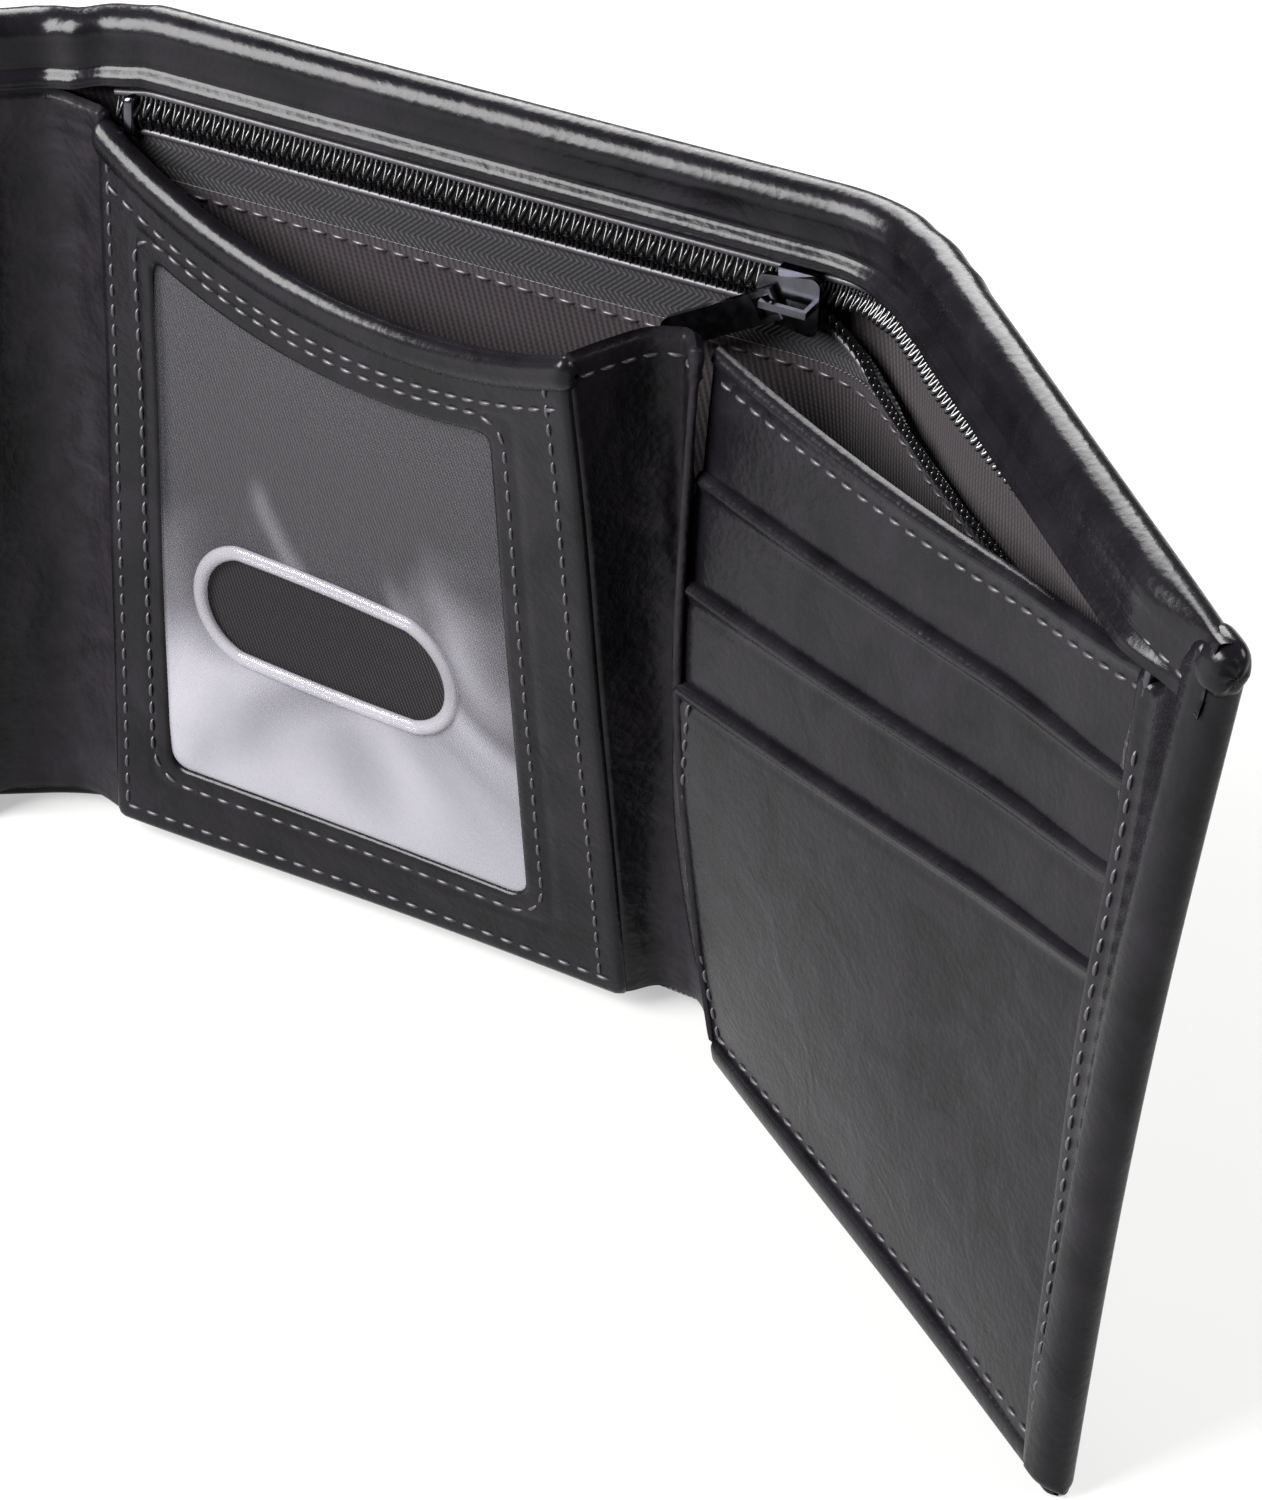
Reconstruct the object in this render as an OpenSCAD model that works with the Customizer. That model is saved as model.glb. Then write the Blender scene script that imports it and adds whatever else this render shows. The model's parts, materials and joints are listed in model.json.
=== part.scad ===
// Trifold wallet of black smooth leather, standing on its lower edge and partly open.
// Three vertical sections are joined by two folds. The centre section lies along X, its outer
// cover at +Y and its inner side facing -Y. Both side wings turn towards -Y.
// In a section's own frame x runs away from the fold, y = 0 is the inner face of the outer cover
// and every inner layer is at negative y. Millimetres throughout.

/* [Outer cover] */
// Height of the outer cover, to the top of its rolled edge
cover_h = 112; // [106:1:118]
// Thickness of the outer cover leather
cover_t = 1.6; // [1.2:0.1:2]
// Radius of the rolled top edge
roll_r = 2.7; // [2.3:0.1:3]
// Width of the centre section between the two fold lines
centre_w = 96; // [92:1:100]
// Width of each side wing, from its fold line to its free end
wing_w = 82; // [80:1:88]

/* [Folds] */
// Angle of the right fold away from lying flat
right_fold = 44; // [30:1:50]
// Angle of the left fold away from lying flat
left_fold = 33; // [25:1:45]

/* [Inner panels] */
// Height of the inner panels
inner_h = 96; // [93:0.5:96]
// Left edge of the centre panel, from the left fold line
centre_x0 = 3.5; // [3.5:0.5:4]
// Width of the centre panel
centre_panel_w = 72; // [68:1:73]
// How far the centre panel's scooped top edge drops
scoop = 8.5; // [4:0.5:10]
// How far the wing panels' top edges drop
wing_scoop = 2; // [1:0.5:3]
// Start of the right inner panel, from the right fold line
right_x0 = 5; // [5:0.5:6]
// Start of the left inner panel, from the left fold line
left_x0 = 12; // [12:0.5:13]
// Distance of the seam at each free end from the fold line
end_seam = 76; // [74:1:77]

/* [Bill compartment] */
// Gape of the bill compartment at the top of the centre panel's right edge
gape_centre = 16.5; // [8:0.5:17]
// Gape of the bill compartment at the top of the right wing, beside the fold
gape_wing = 9; // [6:0.5:9]

/* [ID window] */
// Width of the clear window
window_w = 51; // [46:1:52]
// Lower edge of the window
window_z0 = 13; // [11:1:15]
// Height of the window at its left edge
window_h = 66; // [60:1:66]
// Length of the thumb slot in the clear window
thumb_l = 36; // [30:1:38]
// Width of the thumb slot
thumb_w = 15; // [12:1:16]

/* [Card slots] */
// Height of the first card slot's edge
slot_top = 82.5; // [81:0.5:84]
// Step down from one card slot to the next
slot_step = 13; // [12:0.5:13.5]

/* [Zip] */
// Height of the zip's centre line
zip_z = 99.8; // [99.6:0.1:100]
// Distance of the zip slider from the left fold line, with the zip open to its right
slider_x = 92; // [84:0.5:92]
// Length of the zip's pull tab
pull_l = 12.5; // [10:0.5:13]
// Angle by which the pull tab hangs below the line of the zip
pull_droop = 30; // [20:2:30]

/* [Hidden] */
$fn = 48;

leather = "#1b181d";
cloth = "#241f22";
metal = "#2c2c30";
vinyl = "#8d898f";

// Depths of the layers behind the inner side of the cover
pocket_cloth_t = 0.4;
tape_y = 2.6;
tape_t = 0.6;
coil_y = tape_y + tape_t;
coil_r = 0.8;
chain_gap = 0.75;
facing_t = 1;
lining_t = 0.6;
fold_clear = 5.2;
cover_clear = 1.2;
zip_clear = 12;
chain_x0 = 7;
chain_x1 = centre_w - 0.7;
top_z = cover_h - 2 * roll_r;
edge_z = 2.5;
edge_drop = 4;
edge_gap = 0.05;

// Depths of the inner panel's layers, counted from its bill compartment side
inner_y = 4.4;
cloth_t = 0.5;
window_t = 0.4;
frame_y = cloth_t + cloth_t + window_t;
frame_t = 1.2;
back_t = 1;
slot_y = cloth_t + back_t;
slot_t = 0.9;
slot_lap = 3;
pocket_cloth_z0 = 8;
seam_in = 3;
gusset_y = 0.6;
gusset_t = 0.8;
slot_dip = 0.8;

roll_y = cover_t - roll_r;
roll_z = cover_h - roll_r;
facing_z0 = zip_z + 3.8;
lining_z1 = zip_z - 7.4;
tape_z0 = lining_z1 - 3;
through_y = 40;
lower_coil_drop = 6;
lower_coil_end = 7;

// Each stop reaches beyond the coils by a rim, above, below and in front
stop_l = 1.5;
stop_rim = 0.25;

// Left edges of the window and the thumb slot, from the panel's left edge, and the slot's height
window_x0 = 7.3;
thumb_x0 = 14.5;
thumb_z = 41.5;

slider_l = 7.2;
slider_h = 6.8;
plate_t = 0.9;
plate_r = 1;
taper = 0.8;
back_plate_y = 1.4;
front_plate_y = 5.1;
post_l = 2.4;
post_w = 0.9;
flange_t = 0.6;
bridge_x0 = -2.5;
bridge_x1 = 3;
bridge_y = 7.3;
bridge_t = 0.6;
bridge_w = 0.8;
leg_t = 0.5;
pin_x = -1;
pin_y = 6.65;
pull_w = 3.6;
pull_t = 0.9;
arm_l = 2.4;
arm_t = 0.8;
arm_w = 0.6;

// The model's origin is the centre of its box, on the surface that it stands on
x_max = centre_w + wing_w * cos(right_fold) + cover_t * sin(right_fold);
x_min = -wing_w * cos(left_fold) - cover_t * sin(left_fold);
y_min = -wing_w * sin(right_fold) - (roll_r - roll_y) * cos(right_fold);
shift = [-(x_min + x_max) / 2, -(y_min + cover_t) / 2, 0];

// The frame of each section
module centre() { translate(shift) children(); }
module right_wing() {
    translate(shift) translate([centre_w, 0, 0]) rotate([0, 0, -right_fold]) children();
}
module left_wing() {
    translate(shift) rotate([0, 0, left_fold]) mirror([1, 0, 0]) children();
}

// A flat layer from x0 to x1 and z0 to z1, between the depths y0 and y1 on the inner side
module layer(x0, x1, z0, z1, y0, y1) {
    translate([x0, -y1, z0]) cube([x1 - x0, y1 - y0, z1 - z0]);
}

// One section of the outer cover, with its top edge turned over and rolled
module cover(x0, x1, roll0, roll1) {
    layer(x0, x1, 0, roll_z, -cover_t, 0);
    translate([roll0, roll_y, roll_z]) rotate([0, 90, 0]) cylinder(r = roll_r, h = roll1 - roll0);
}

// A zip coil along x
module coil(x0, x1, z) {
    translate([x0, -coil_y - coil_r, z]) rotate([0, 90, 0]) cylinder(r = coil_r, h = x1 - x0);
}

// Gape at the fraction u along and v up a panel: gape = [[bottom start, end], [top start, end]]
function gape_at(gape, u, v) =
    (gape[0][0] * (1 - u) + gape[0][1] * u) * (1 - v) + (gape[1][0] * (1 - u) + gape[1][1] * u) * v;

// The space between the depths t0 and t1 of a panel whose four corners gape by different amounts
module bent_slab(x0, x1, gape, t0, t1) {
    n = 6;
    side = (n + 1) * (n + 1);
    points = [
        for (t = [t0, t1]) for (i = [0:n]) for (j = [0:n])
            [x0 + (x1 - x0) * i / n, -inner_y - t - gape_at(gape, i / n, j / n), inner_h * j / n]
    ];
    function id(k, i, j) = k * side + i * (n + 1) + j;
    back = [
        for (i = [0:n - 1]) for (j = [0:n - 1]) each [
            [id(0, i, j), id(0, i + 1, j), id(0, i + 1, j + 1)],
            [id(0, i, j), id(0, i + 1, j + 1), id(0, i, j + 1)]
        ]
    ];
    front = [
        for (i = [0:n - 1]) for (j = [0:n - 1]) each [
            [id(1, i, j), id(1, i + 1, j + 1), id(1, i + 1, j)],
            [id(1, i, j), id(1, i, j + 1), id(1, i + 1, j + 1)]
        ]
    ];
    rims = [
        for (i = [0:n - 1]) each [
            [id(1, i, 0), id(1, i + 1, 0), id(0, i + 1, 0)],
            [id(1, i, 0), id(0, i + 1, 0), id(0, i, 0)],
            [id(1, i + 1, n), id(1, i, n), id(0, i, n)],
            [id(1, i + 1, n), id(0, i, n), id(0, i + 1, n)],
            [id(1, 0, i + 1), id(1, 0, i), id(0, 0, i)],
            [id(1, 0, i + 1), id(0, 0, i), id(0, 0, i + 1)],
            [id(1, n, i), id(1, n, i + 1), id(0, n, i + 1)],
            [id(1, n, i), id(0, n, i + 1), id(0, n, i)]
        ]
    ];
    polyhedron(points = points, faces = concat(back, front, rims));
}

// An outline drawn in x and z, cut through every inner layer
module through() {
    rotate([90, 0, 0]) linear_extrude(height = through_y) children();
}

// The outline from x0 to x1 and z0 to z1, whose top edge dips along a circular arc
module dipped_outline(x0, x1, z0, z1, dip) {
    half = (x1 - x0) / 2;
    r = (half * half + dip * dip) / (2 * dip);
    difference() {
        translate([x0, z0]) square([x1 - x0, z1 - z0]);
        translate([(x0 + x1) / 2, z1 - dip + r]) circle(r = r, $fn = 180);
    }
}

// A layer of a bent panel from z0 to z1, with its top edge dipped
module panel_layer(x0, x1, gape, t0, t1, z0, z1, dip) {
    intersection() {
        bent_slab(x0, x1, gape, t0, t1);
        through() dipped_outline(x0 - 1, x1 + 1, z0, z1, dip);
    }
}

// The clear window's outline: rounded corners, and a top edge that follows the panel's scoop
module window_outline(grow) {
    x0 = centre_x0 + window_x0 - grow;
    x1 = x0 + window_w + 2 * grow;
    corner = 3 + grow;
    intersection() {
        translate([x0 + corner, window_z0 - grow + corner]) hull() {
            circle(r = corner);
            translate([x1 - x0 - 2 * corner, 0]) circle(r = corner);
            translate([0, window_h]) circle(r = corner);
            translate([x1 - x0 - 2 * corner, window_h]) circle(r = corner);
        }
        dipped_outline(centre_x0, centre_x0 + centre_panel_w, 0, window_z0 + window_h + 3.5 + grow, scoop);
    }
}

centre_x1 = centre_x0 + centre_panel_w;
centre_gape = [[0, 1], [0.3, gape_centre]];
right_gape = [[3, 0], [gape_wing, 0]];
left_gape = [[0.3, 0], [1.5, 0]];

module cover_centre() {
    color(leather) centre() cover(cover_clear, centre_w - cover_clear, fold_clear, centre_w - fold_clear);
}
module cover_right() { color(leather) right_wing() cover(cover_clear, wing_w, fold_clear, wing_w); }
module cover_left() { color(leather) left_wing() cover(cover_clear, wing_w, fold_clear, wing_w); }

// The woven lining on the cover's side of the bill compartment
module lining(x0, x1, z1, y) { layer(x0, x1, edge_z, z1, y, y + lining_t); }
module bill_lining_centre() {
    color(cloth) centre() lining(fold_clear, centre_w - fold_clear, lining_z1, coil_y);
}
module bill_lining_right() { color(cloth) right_wing() lining(fold_clear, end_seam, lining_z1, coil_y); }
module bill_lining_left() { color(cloth) left_wing() lining(fold_clear, end_seam, top_z, 0); }

// The leather facing between the rolled edge and the zip tape
module facing(x0, x1) { layer(x0, x1, facing_z0, top_z, coil_y, coil_y + facing_t); }
module zip_facing_centre() { color(leather) centre() facing(fold_clear, centre_w - fold_clear); }
module zip_facing_right() { color(leather) right_wing() facing(zip_clear, end_seam); }

// The cloth of the zip pocket, against the cover
module pocket_cloth(x0, x1) { layer(x0, x1, edge_z, facing_z0, 0, pocket_cloth_t); }
module zip_pocket_cloth_centre() { color(cloth) centre() pocket_cloth(fold_clear, centre_w - fold_clear); }
module zip_pocket_cloth_right() { color(cloth) right_wing() pocket_cloth(fold_clear, end_seam); }

// The zip's two tapes; the slider's post runs in the gap between them
module tape_upper(x0, x1) { layer(x0, x1, zip_z + chain_gap, top_z, tape_y, tape_y + tape_t); }
module zip_tape_upper_centre() { color(cloth) centre() tape_upper(fold_clear, chain_x1); }
module zip_tape_upper_right() { color(cloth) right_wing() tape_upper(zip_clear, end_seam); }
module tape_lower(x0, x1, z1) { layer(x0, x1, tape_z0, z1, tape_y, tape_y + tape_t); }
module zip_tape_lower_centre() { color(cloth) centre() tape_lower(fold_clear, chain_x1, zip_z - chain_gap); }
module zip_tape_lower_right() {
    color(cloth) right_wing() tape_lower(zip_clear, end_seam, zip_z - lower_coil_drop + coil_r);
}

// The coils: closed along the centre section, parted along the right wing, where the zip is open
chain_z = chain_gap + coil_r;
module zip_coil_upper_centre() { color(metal) centre() coil(chain_x0, chain_x1, zip_z + chain_z); }
module zip_coil_lower_centre() { color(metal) centre() coil(chain_x0, chain_x1, zip_z - chain_z); }
module zip_coil_upper_right() {
    color(metal) right_wing() coil(zip_clear, end_seam - stop_l, zip_z + chain_z);
}
module zip_coil_lower_right() {
    color(metal) right_wing() coil(zip_clear, end_seam - lower_coil_end, zip_z - lower_coil_drop);
}

// Each stop is clamped round the ends of the coils
stop_z = chain_z + coil_r + stop_rim;
module stop(x0, z0) { layer(x0, x0 + stop_l, z0, zip_z + stop_z, coil_y, coil_y + 2 * coil_r + stop_rim); }
module zip_stop_left() { color(metal) centre() stop(chain_x0 - stop_l, zip_z - stop_z); }
module zip_stop_right() { color(metal) right_wing() stop(end_seam - stop_l, zip_z + chain_gap); }

// The slider: two plates on each side of the chain, joined by a post that parts the coils,
// with side flanges and an arched bridge that holds the pull
module slider_plate(y) {
    half = slider_l / 2;
    translate([0, -y, 0]) rotate([90, 0, 0]) linear_extrude(height = plate_t) hull() {
        for (z = [-1, 1]) {
            translate([half - plate_r, z * (slider_h / 2 - plate_r)]) circle(r = plate_r);
            translate([plate_r - half, z * (slider_h / 2 - plate_r - taper)]) circle(r = plate_r);
        }
    }
}
module zip_slider() {
    half = slider_l / 2;
    color(metal) centre() translate([slider_x, 0, zip_z]) {
        slider_plate(back_plate_y);
        slider_plate(front_plate_y);
        layer(half - post_l, half - 0.2, -post_w / 2, post_w / 2, back_plate_y + 0.1, front_plate_y + 0.4);
        for (z = [-slider_h / 2, slider_h / 2 - flange_t])
            layer(2 - half, half - 1, z, z + flange_t, 3.5, front_plate_y + 0.1);
        for (x = [bridge_x0, bridge_x1 - leg_t])
            layer(x, x + leg_t, -bridge_w / 2, bridge_w / 2, front_plate_y + 0.4, bridge_y + bridge_t);
        layer(bridge_x0, bridge_x1, -bridge_w / 2, bridge_w / 2, bridge_y, bridge_y + bridge_t);
    }
}

// The pull tab: a flat plate on two arms, which turns on a pin under the slider's bridge
module zip_pull() {
    color(metal) centre() translate([slider_x + pin_x, -pin_y, zip_z]) rotate([0, -pull_droop, 0]) {
        translate([0, 0, -pull_w / 2]) cylinder(r = arm_t / 2, h = pull_w);
        for (z = [-pull_w / 2, pull_w / 2 - arm_w])
            translate([-arm_l - 0.5, -arm_t / 2, z]) cube([arm_l + 0.5, arm_t, arm_w]);
        translate([0, pull_t / 2, 0]) rotate([90, 0, 0]) linear_extrude(height = pull_t) hull() {
            translate([-arm_l - 0.5, -pull_w / 2]) square([0.5, pull_w]);
            translate([-pull_l - arm_l + pull_w / 2, 0]) circle(r = pull_w / 2);
        }
    }
}

// The inner side of the centre section
module centre_layer(t0, t1, z0, z1, dip) {
    centre() panel_layer(centre_x0, centre_x1, centre_gape, t0, t1, z0, z1, dip);
}
module centre_panel() {
    color(leather) difference() {
        centre_layer(frame_y, frame_y + frame_t, edge_z, inner_h - edge_drop, scoop);
        centre() through() window_outline(0);
    }
}
module centre_top_edge() {
    color(leather) difference() {
        centre_layer(0, frame_y + frame_t + 0.3, edge_z, inner_h, scoop);
        centre() through()
            dipped_outline(centre_x0 - 1, centre_x1 + 1, 0, inner_h - edge_drop + edge_gap, scoop);
    }
}
module id_window() {
    color(vinyl) difference() {
        intersection() {
            centre() bent_slab(centre_x0, centre_x1, centre_gape, 2 * cloth_t, frame_y);
            centre() through() window_outline(3);
        }
        centre() through() hull() for (dx = [thumb_w / 2, thumb_l - thumb_w / 2])
            translate([centre_x0 + thumb_x0 + dx, thumb_z]) circle(r = thumb_w / 2);
    }
}
module id_backing() {
    color(cloth) intersection() {
        centre() bent_slab(centre_x0, centre_x1, centre_gape, cloth_t, 2 * cloth_t);
        centre() through() window_outline(3);
    }
}
module centre_panel_lining() { color(cloth) centre_layer(0, cloth_t, edge_z, inner_h - edge_drop, scoop); }

// The inner side of a wing: a leather back, two card slots and a deep front pocket
module wing_back(x0, gape) { panel_layer(x0, end_seam, gape, cloth_t, slot_y, edge_z, inner_h, wing_scoop); }
module wing_lining(x0, gape) { panel_layer(x0, end_seam, gape, 0, cloth_t, edge_z, inner_h - 1, wing_scoop); }
module wing_slot(x0, gape, k) {
    z1 = slot_top - k * slot_step;
    t0 = slot_y + k * slot_t;
    panel_layer(x0, end_seam, gape, t0, t0 + slot_t, k == 2 ? edge_z : z1 - slot_step - slot_lap, z1, slot_dip);
}
module wing_pocket_cloth(x0, gape, k) {
    t0 = slot_y + k * slot_t;
    z1 = slot_top - (k + 1) * slot_step - slot_lap;
    intersection() {
        bent_slab(x0, end_seam, gape, t0 + edge_gap, t0 + pocket_cloth_t);
        through() translate([x0 + seam_in, pocket_cloth_z0])
            square([end_seam - x0 - 2 * seam_in, z1 - pocket_cloth_z0]);
    }
}
module right_panel_back() { color(leather) right_wing() wing_back(right_x0, right_gape); }
module right_panel_lining() { color(cloth) right_wing() wing_lining(right_x0, right_gape); }
module right_slot_1() { color(leather) right_wing() wing_slot(right_x0, right_gape, 0); }
module right_slot_2() { color(leather) right_wing() wing_slot(right_x0, right_gape, 1); }
module right_front_pocket() { color(leather) right_wing() wing_slot(right_x0, right_gape, 2); }
module right_pocket_cloth_1() { color(cloth) right_wing() wing_pocket_cloth(right_x0, right_gape, 0); }
module right_pocket_cloth_2() { color(cloth) right_wing() wing_pocket_cloth(right_x0, right_gape, 1); }
module left_panel_back() { color(leather) left_wing() wing_back(left_x0, left_gape); }
module left_panel_lining() { color(cloth) left_wing() wing_lining(left_x0, left_gape); }
module left_slot_1() { color(leather) left_wing() wing_slot(left_x0, left_gape, 0); }
module left_slot_2() { color(leather) left_wing() wing_slot(left_x0, left_gape, 1); }
module left_front_pocket() { color(leather) left_wing() wing_slot(left_x0, left_gape, 2); }
module left_pocket_cloth_1() { color(cloth) left_wing() wing_pocket_cloth(left_x0, left_gape, 0); }
module left_pocket_cloth_2() { color(cloth) left_wing() wing_pocket_cloth(left_x0, left_gape, 1); }

// Soft gusset strips on each side of a fold, between the inner panels
module gusset(x0, x1, gape) {
    intersection() {
        bent_slab(x0, x1, gape, gusset_y, gusset_y + gusset_t);
        through() translate([x0, edge_z]) square([x1 - x0, inner_h - edge_z]);
    }
}
module gusset_right_centre() {
    color(leather) centre() gusset(centre_x1, centre_x1 + 4, [[1, 1], [gape_centre, gape_centre - 5]]);
}
module gusset_right_wing() {
    color(leather) right_wing() gusset(right_x0 - 1.5, right_x0, [[3, 3], [gape_wing - 1, gape_wing]]);
}
module gusset_left_centre() {
    color(leather) centre() gusset(centre_x0 - 2.4, centre_x0, [[1, 0], [1.5, 0.3]]);
}
module gusset_left_wing() {
    color(leather) left_wing() gusset(left_x0 - 2.5, left_x0, [[1.2, 0.3], [2.2, 1.5]]);
}

cover_centre();
cover_right();
cover_left();
bill_lining_centre();
bill_lining_right();
bill_lining_left();
zip_facing_centre();
zip_facing_right();
zip_pocket_cloth_centre();
zip_pocket_cloth_right();
zip_tape_upper_centre();
zip_tape_upper_right();
zip_tape_lower_centre();
zip_tape_lower_right();
zip_coil_upper_centre();
zip_coil_upper_right();
zip_coil_lower_centre();
zip_coil_lower_right();
zip_stop_left();
zip_stop_right();
zip_slider();
zip_pull();
centre_panel();
centre_top_edge();
id_window();
id_backing();
centre_panel_lining();
gusset_right_centre();
gusset_right_wing();
gusset_left_centre();
gusset_left_wing();
right_panel_back();
right_panel_lining();
right_slot_1();
right_slot_2();
right_front_pocket();
right_pocket_cloth_1();
right_pocket_cloth_2();
left_panel_back();
left_panel_lining();
left_slot_1();
left_slot_2();
left_front_pocket();
left_pocket_cloth_1();
left_pocket_cloth_2();
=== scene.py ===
"""Looks of a black leather trifold wallet that stands on its lower edge, partly open.

Shapes are worked out in the centre section's own frame, in millimetres: x runs from the left fold
line to the right one, y points out of the back of the cover, and z is up. place() turns them into metres in
the row's frame. Along the cover, t is the distance from the left fold line.
"""

from __future__ import annotations

import json
import logging
import math
from dataclasses import dataclass, field
from enum import Enum

import bpy
import numpy as np
from mathutils import Matrix, Vector


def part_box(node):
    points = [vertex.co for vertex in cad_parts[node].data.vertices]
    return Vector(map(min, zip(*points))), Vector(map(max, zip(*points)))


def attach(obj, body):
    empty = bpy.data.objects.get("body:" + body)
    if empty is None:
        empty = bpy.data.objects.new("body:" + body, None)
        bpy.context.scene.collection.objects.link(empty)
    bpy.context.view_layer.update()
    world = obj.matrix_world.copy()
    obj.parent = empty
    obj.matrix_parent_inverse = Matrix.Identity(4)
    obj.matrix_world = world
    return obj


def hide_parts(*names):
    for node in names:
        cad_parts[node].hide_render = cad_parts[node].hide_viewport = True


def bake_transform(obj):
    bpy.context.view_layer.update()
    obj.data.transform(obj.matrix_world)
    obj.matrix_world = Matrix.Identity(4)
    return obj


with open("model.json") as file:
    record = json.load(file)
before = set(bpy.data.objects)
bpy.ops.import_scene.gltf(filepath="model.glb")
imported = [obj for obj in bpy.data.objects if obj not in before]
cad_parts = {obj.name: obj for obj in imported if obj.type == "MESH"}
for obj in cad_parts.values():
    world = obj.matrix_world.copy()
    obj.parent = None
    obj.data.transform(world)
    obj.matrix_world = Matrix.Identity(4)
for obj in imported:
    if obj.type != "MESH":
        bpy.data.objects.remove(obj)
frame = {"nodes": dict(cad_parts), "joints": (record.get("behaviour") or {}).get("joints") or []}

LOG = logging.getLogger("trifold_wallet")
MM = 0.001


class Body(Enum):
    """The bodies that pieces ride on."""

    CENTRE = "centre_section"
    RIGHT = "right_wing"
    LEFT = "left_wing"
    SLIDER = "zip_slider"
    PULL = "zip_pull"


class Weave(Enum):
    """Ways in which the wallet's cloths are woven."""

    TWILL = "twill"
    HERRINGBONE = "herringbone"


# ---------------------------------------------------------------------------------------------
# Meshes
# ---------------------------------------------------------------------------------------------


def fold_place(name: str) -> Vector:
    """Return the place of a fold's hinge, in metres."""
    joint = next(j for j in frame["joints"] if j["name"] == name)
    return Vector(joint["pos_m"])


LEFT_FOLD = fold_place("left_fold")
RIGHT_FOLD = fold_place("right_fold")
CENTRE_W = (RIGHT_FOLD.x - LEFT_FOLD.x) / MM
COVER_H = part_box("cover_centre")[1].z / MM
ZIP_Z = (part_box("zip_slider")[0].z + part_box("zip_slider")[1].z) / 2 / MM
SLIDER_X = ((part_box("zip_slider")[0].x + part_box("zip_slider")[1].x) / 2 - LEFT_FOLD.x) / MM
INNER_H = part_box("right_panel_back")[1].z / MM


def place(points: np.ndarray) -> np.ndarray:
    """Turn points from the centre section's frame in mm into the row's frame in metres."""
    shift = np.array([LEFT_FOLD.x, LEFT_FOLD.y, 0.0])
    return points * MM + shift


def spot(x: float, y: float, z: float) -> tuple[float, float, float]:
    """Return one point of the centre section's frame, in metres in the row's frame."""
    return tuple(float(c) for c in place(np.array([x, y, z])))


def quads(rows: int, cols: int, wrap_rows: bool = False, wrap_cols: bool = False) -> np.ndarray:
    """Return the faces of a grid of points, row by row.

    Args:
        rows: Number of points along the first parameter.
        cols: Number of points along the second parameter.
        wrap_rows: Whether the last row joins the first.
        wrap_cols: Whether the last column joins the first.

    Returns:
        An array of four point numbers a face.
    """
    i = np.arange(rows if wrap_rows else rows - 1)[:, None]
    j = np.arange(cols if wrap_cols else cols - 1)[None, :]
    i2, j2 = (i + 1) % rows, (j + 1) % cols
    return np.stack([i * cols + j, i2 * cols + j, i2 * cols + j2, i * cols + j2], -1).reshape(-1, 4)


def make_piece(
    name: str, points: np.ndarray, faces: np.ndarray, uv: np.ndarray | None = None
) -> bpy.types.Object:
    """Make a smooth mesh piece from points in mm.

    Args:
        name: The piece's name.
        points: Points in the centre section's frame, shaped (..., 3).
        faces: Four point numbers a face.
        uv: Place of each point on its surface in metres, shaped (..., 2), or None.

    Returns:
        The object, at the world's origin.
    """
    co = place(points.reshape(-1, 3)).astype(np.float32)
    mesh = bpy.data.meshes.new(name)
    mesh.vertices.add(len(co))
    mesh.vertices.foreach_set("co", co.ravel())
    mesh.loops.add(faces.size)
    mesh.loops.foreach_set("vertex_index", faces.astype(np.int32).ravel())
    mesh.polygons.add(len(faces))
    mesh.polygons.foreach_set("loop_start", np.arange(0, faces.size, 4, dtype=np.int32))
    mesh.polygons.foreach_set("loop_total", np.full(len(faces), 4, dtype=np.int32))
    mesh.update(calc_edges=True)
    mesh.validate()
    mesh.polygons.foreach_set("use_smooth", np.ones(len(mesh.polygons), dtype=bool))
    if uv is not None:
        corner = np.empty(len(mesh.loops), dtype=np.int32)
        mesh.loops.foreach_get("vertex_index", corner)
        layer = mesh.uv_layers.new(name="cloth")
        layer.data.foreach_set("uv", uv.reshape(-1, 2)[corner].astype(np.float32).ravel())
    piece = bpy.data.objects.new(name, mesh)
    bpy.context.scene.collection.objects.link(piece)
    return piece


def rounding(distance: np.ndarray, radius: float) -> np.ndarray:
    """Return 0 at an edge, rising as a quarter circle to 1 at the radius from it."""
    q = np.clip(distance / radius, 0, 1)
    return np.sqrt(1 - (1 - q) ** 2)


def ridge(distance: np.ndarray, centre: float, width: float) -> np.ndarray:
    """Return a bell curve of height 1 round a distance."""
    return np.exp(-(((distance - centre) / width) ** 2))


def spread(length: float, step: float, edge: float = 0.12) -> np.ndarray:
    """Return places from 0 to length that crowd near both ends, so that edges come out round."""
    ends = np.array([0, 1, 2, 4, 7, 11, 16]) * edge
    middle = np.linspace(ends[-1], length - ends[-1], max(int(length / step), 4) + 1)
    return np.concatenate([ends[:-1], middle, length - ends[:-1][::-1]])


def signed_power(values: np.ndarray, power: float) -> np.ndarray:
    """Return the values raised to a power with their signs kept, which squares off a circle below 1."""
    return np.sign(values) * np.abs(values) ** power


def ripple(a: np.ndarray, b: np.ndarray, seed: int, length: float, count: int = 9) -> np.ndarray:
    """Return soft uneven waves, a sum of sine waves of random direction, from about -1 to 1."""
    rng = np.random.default_rng(seed)
    total = np.zeros(np.broadcast(a, b).shape)
    for _ in range(count):
        angle, phase = rng.uniform(0, math.tau, 2)
        size = length * rng.uniform(0.6, 1.6)
        total += np.sin((a * math.cos(angle) + b * math.sin(angle)) * math.tau / size + phase)
    return total / math.sqrt(count)


# ---------------------------------------------------------------------------------------------
# Surfaces that the pieces follow
# ---------------------------------------------------------------------------------------------


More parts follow.
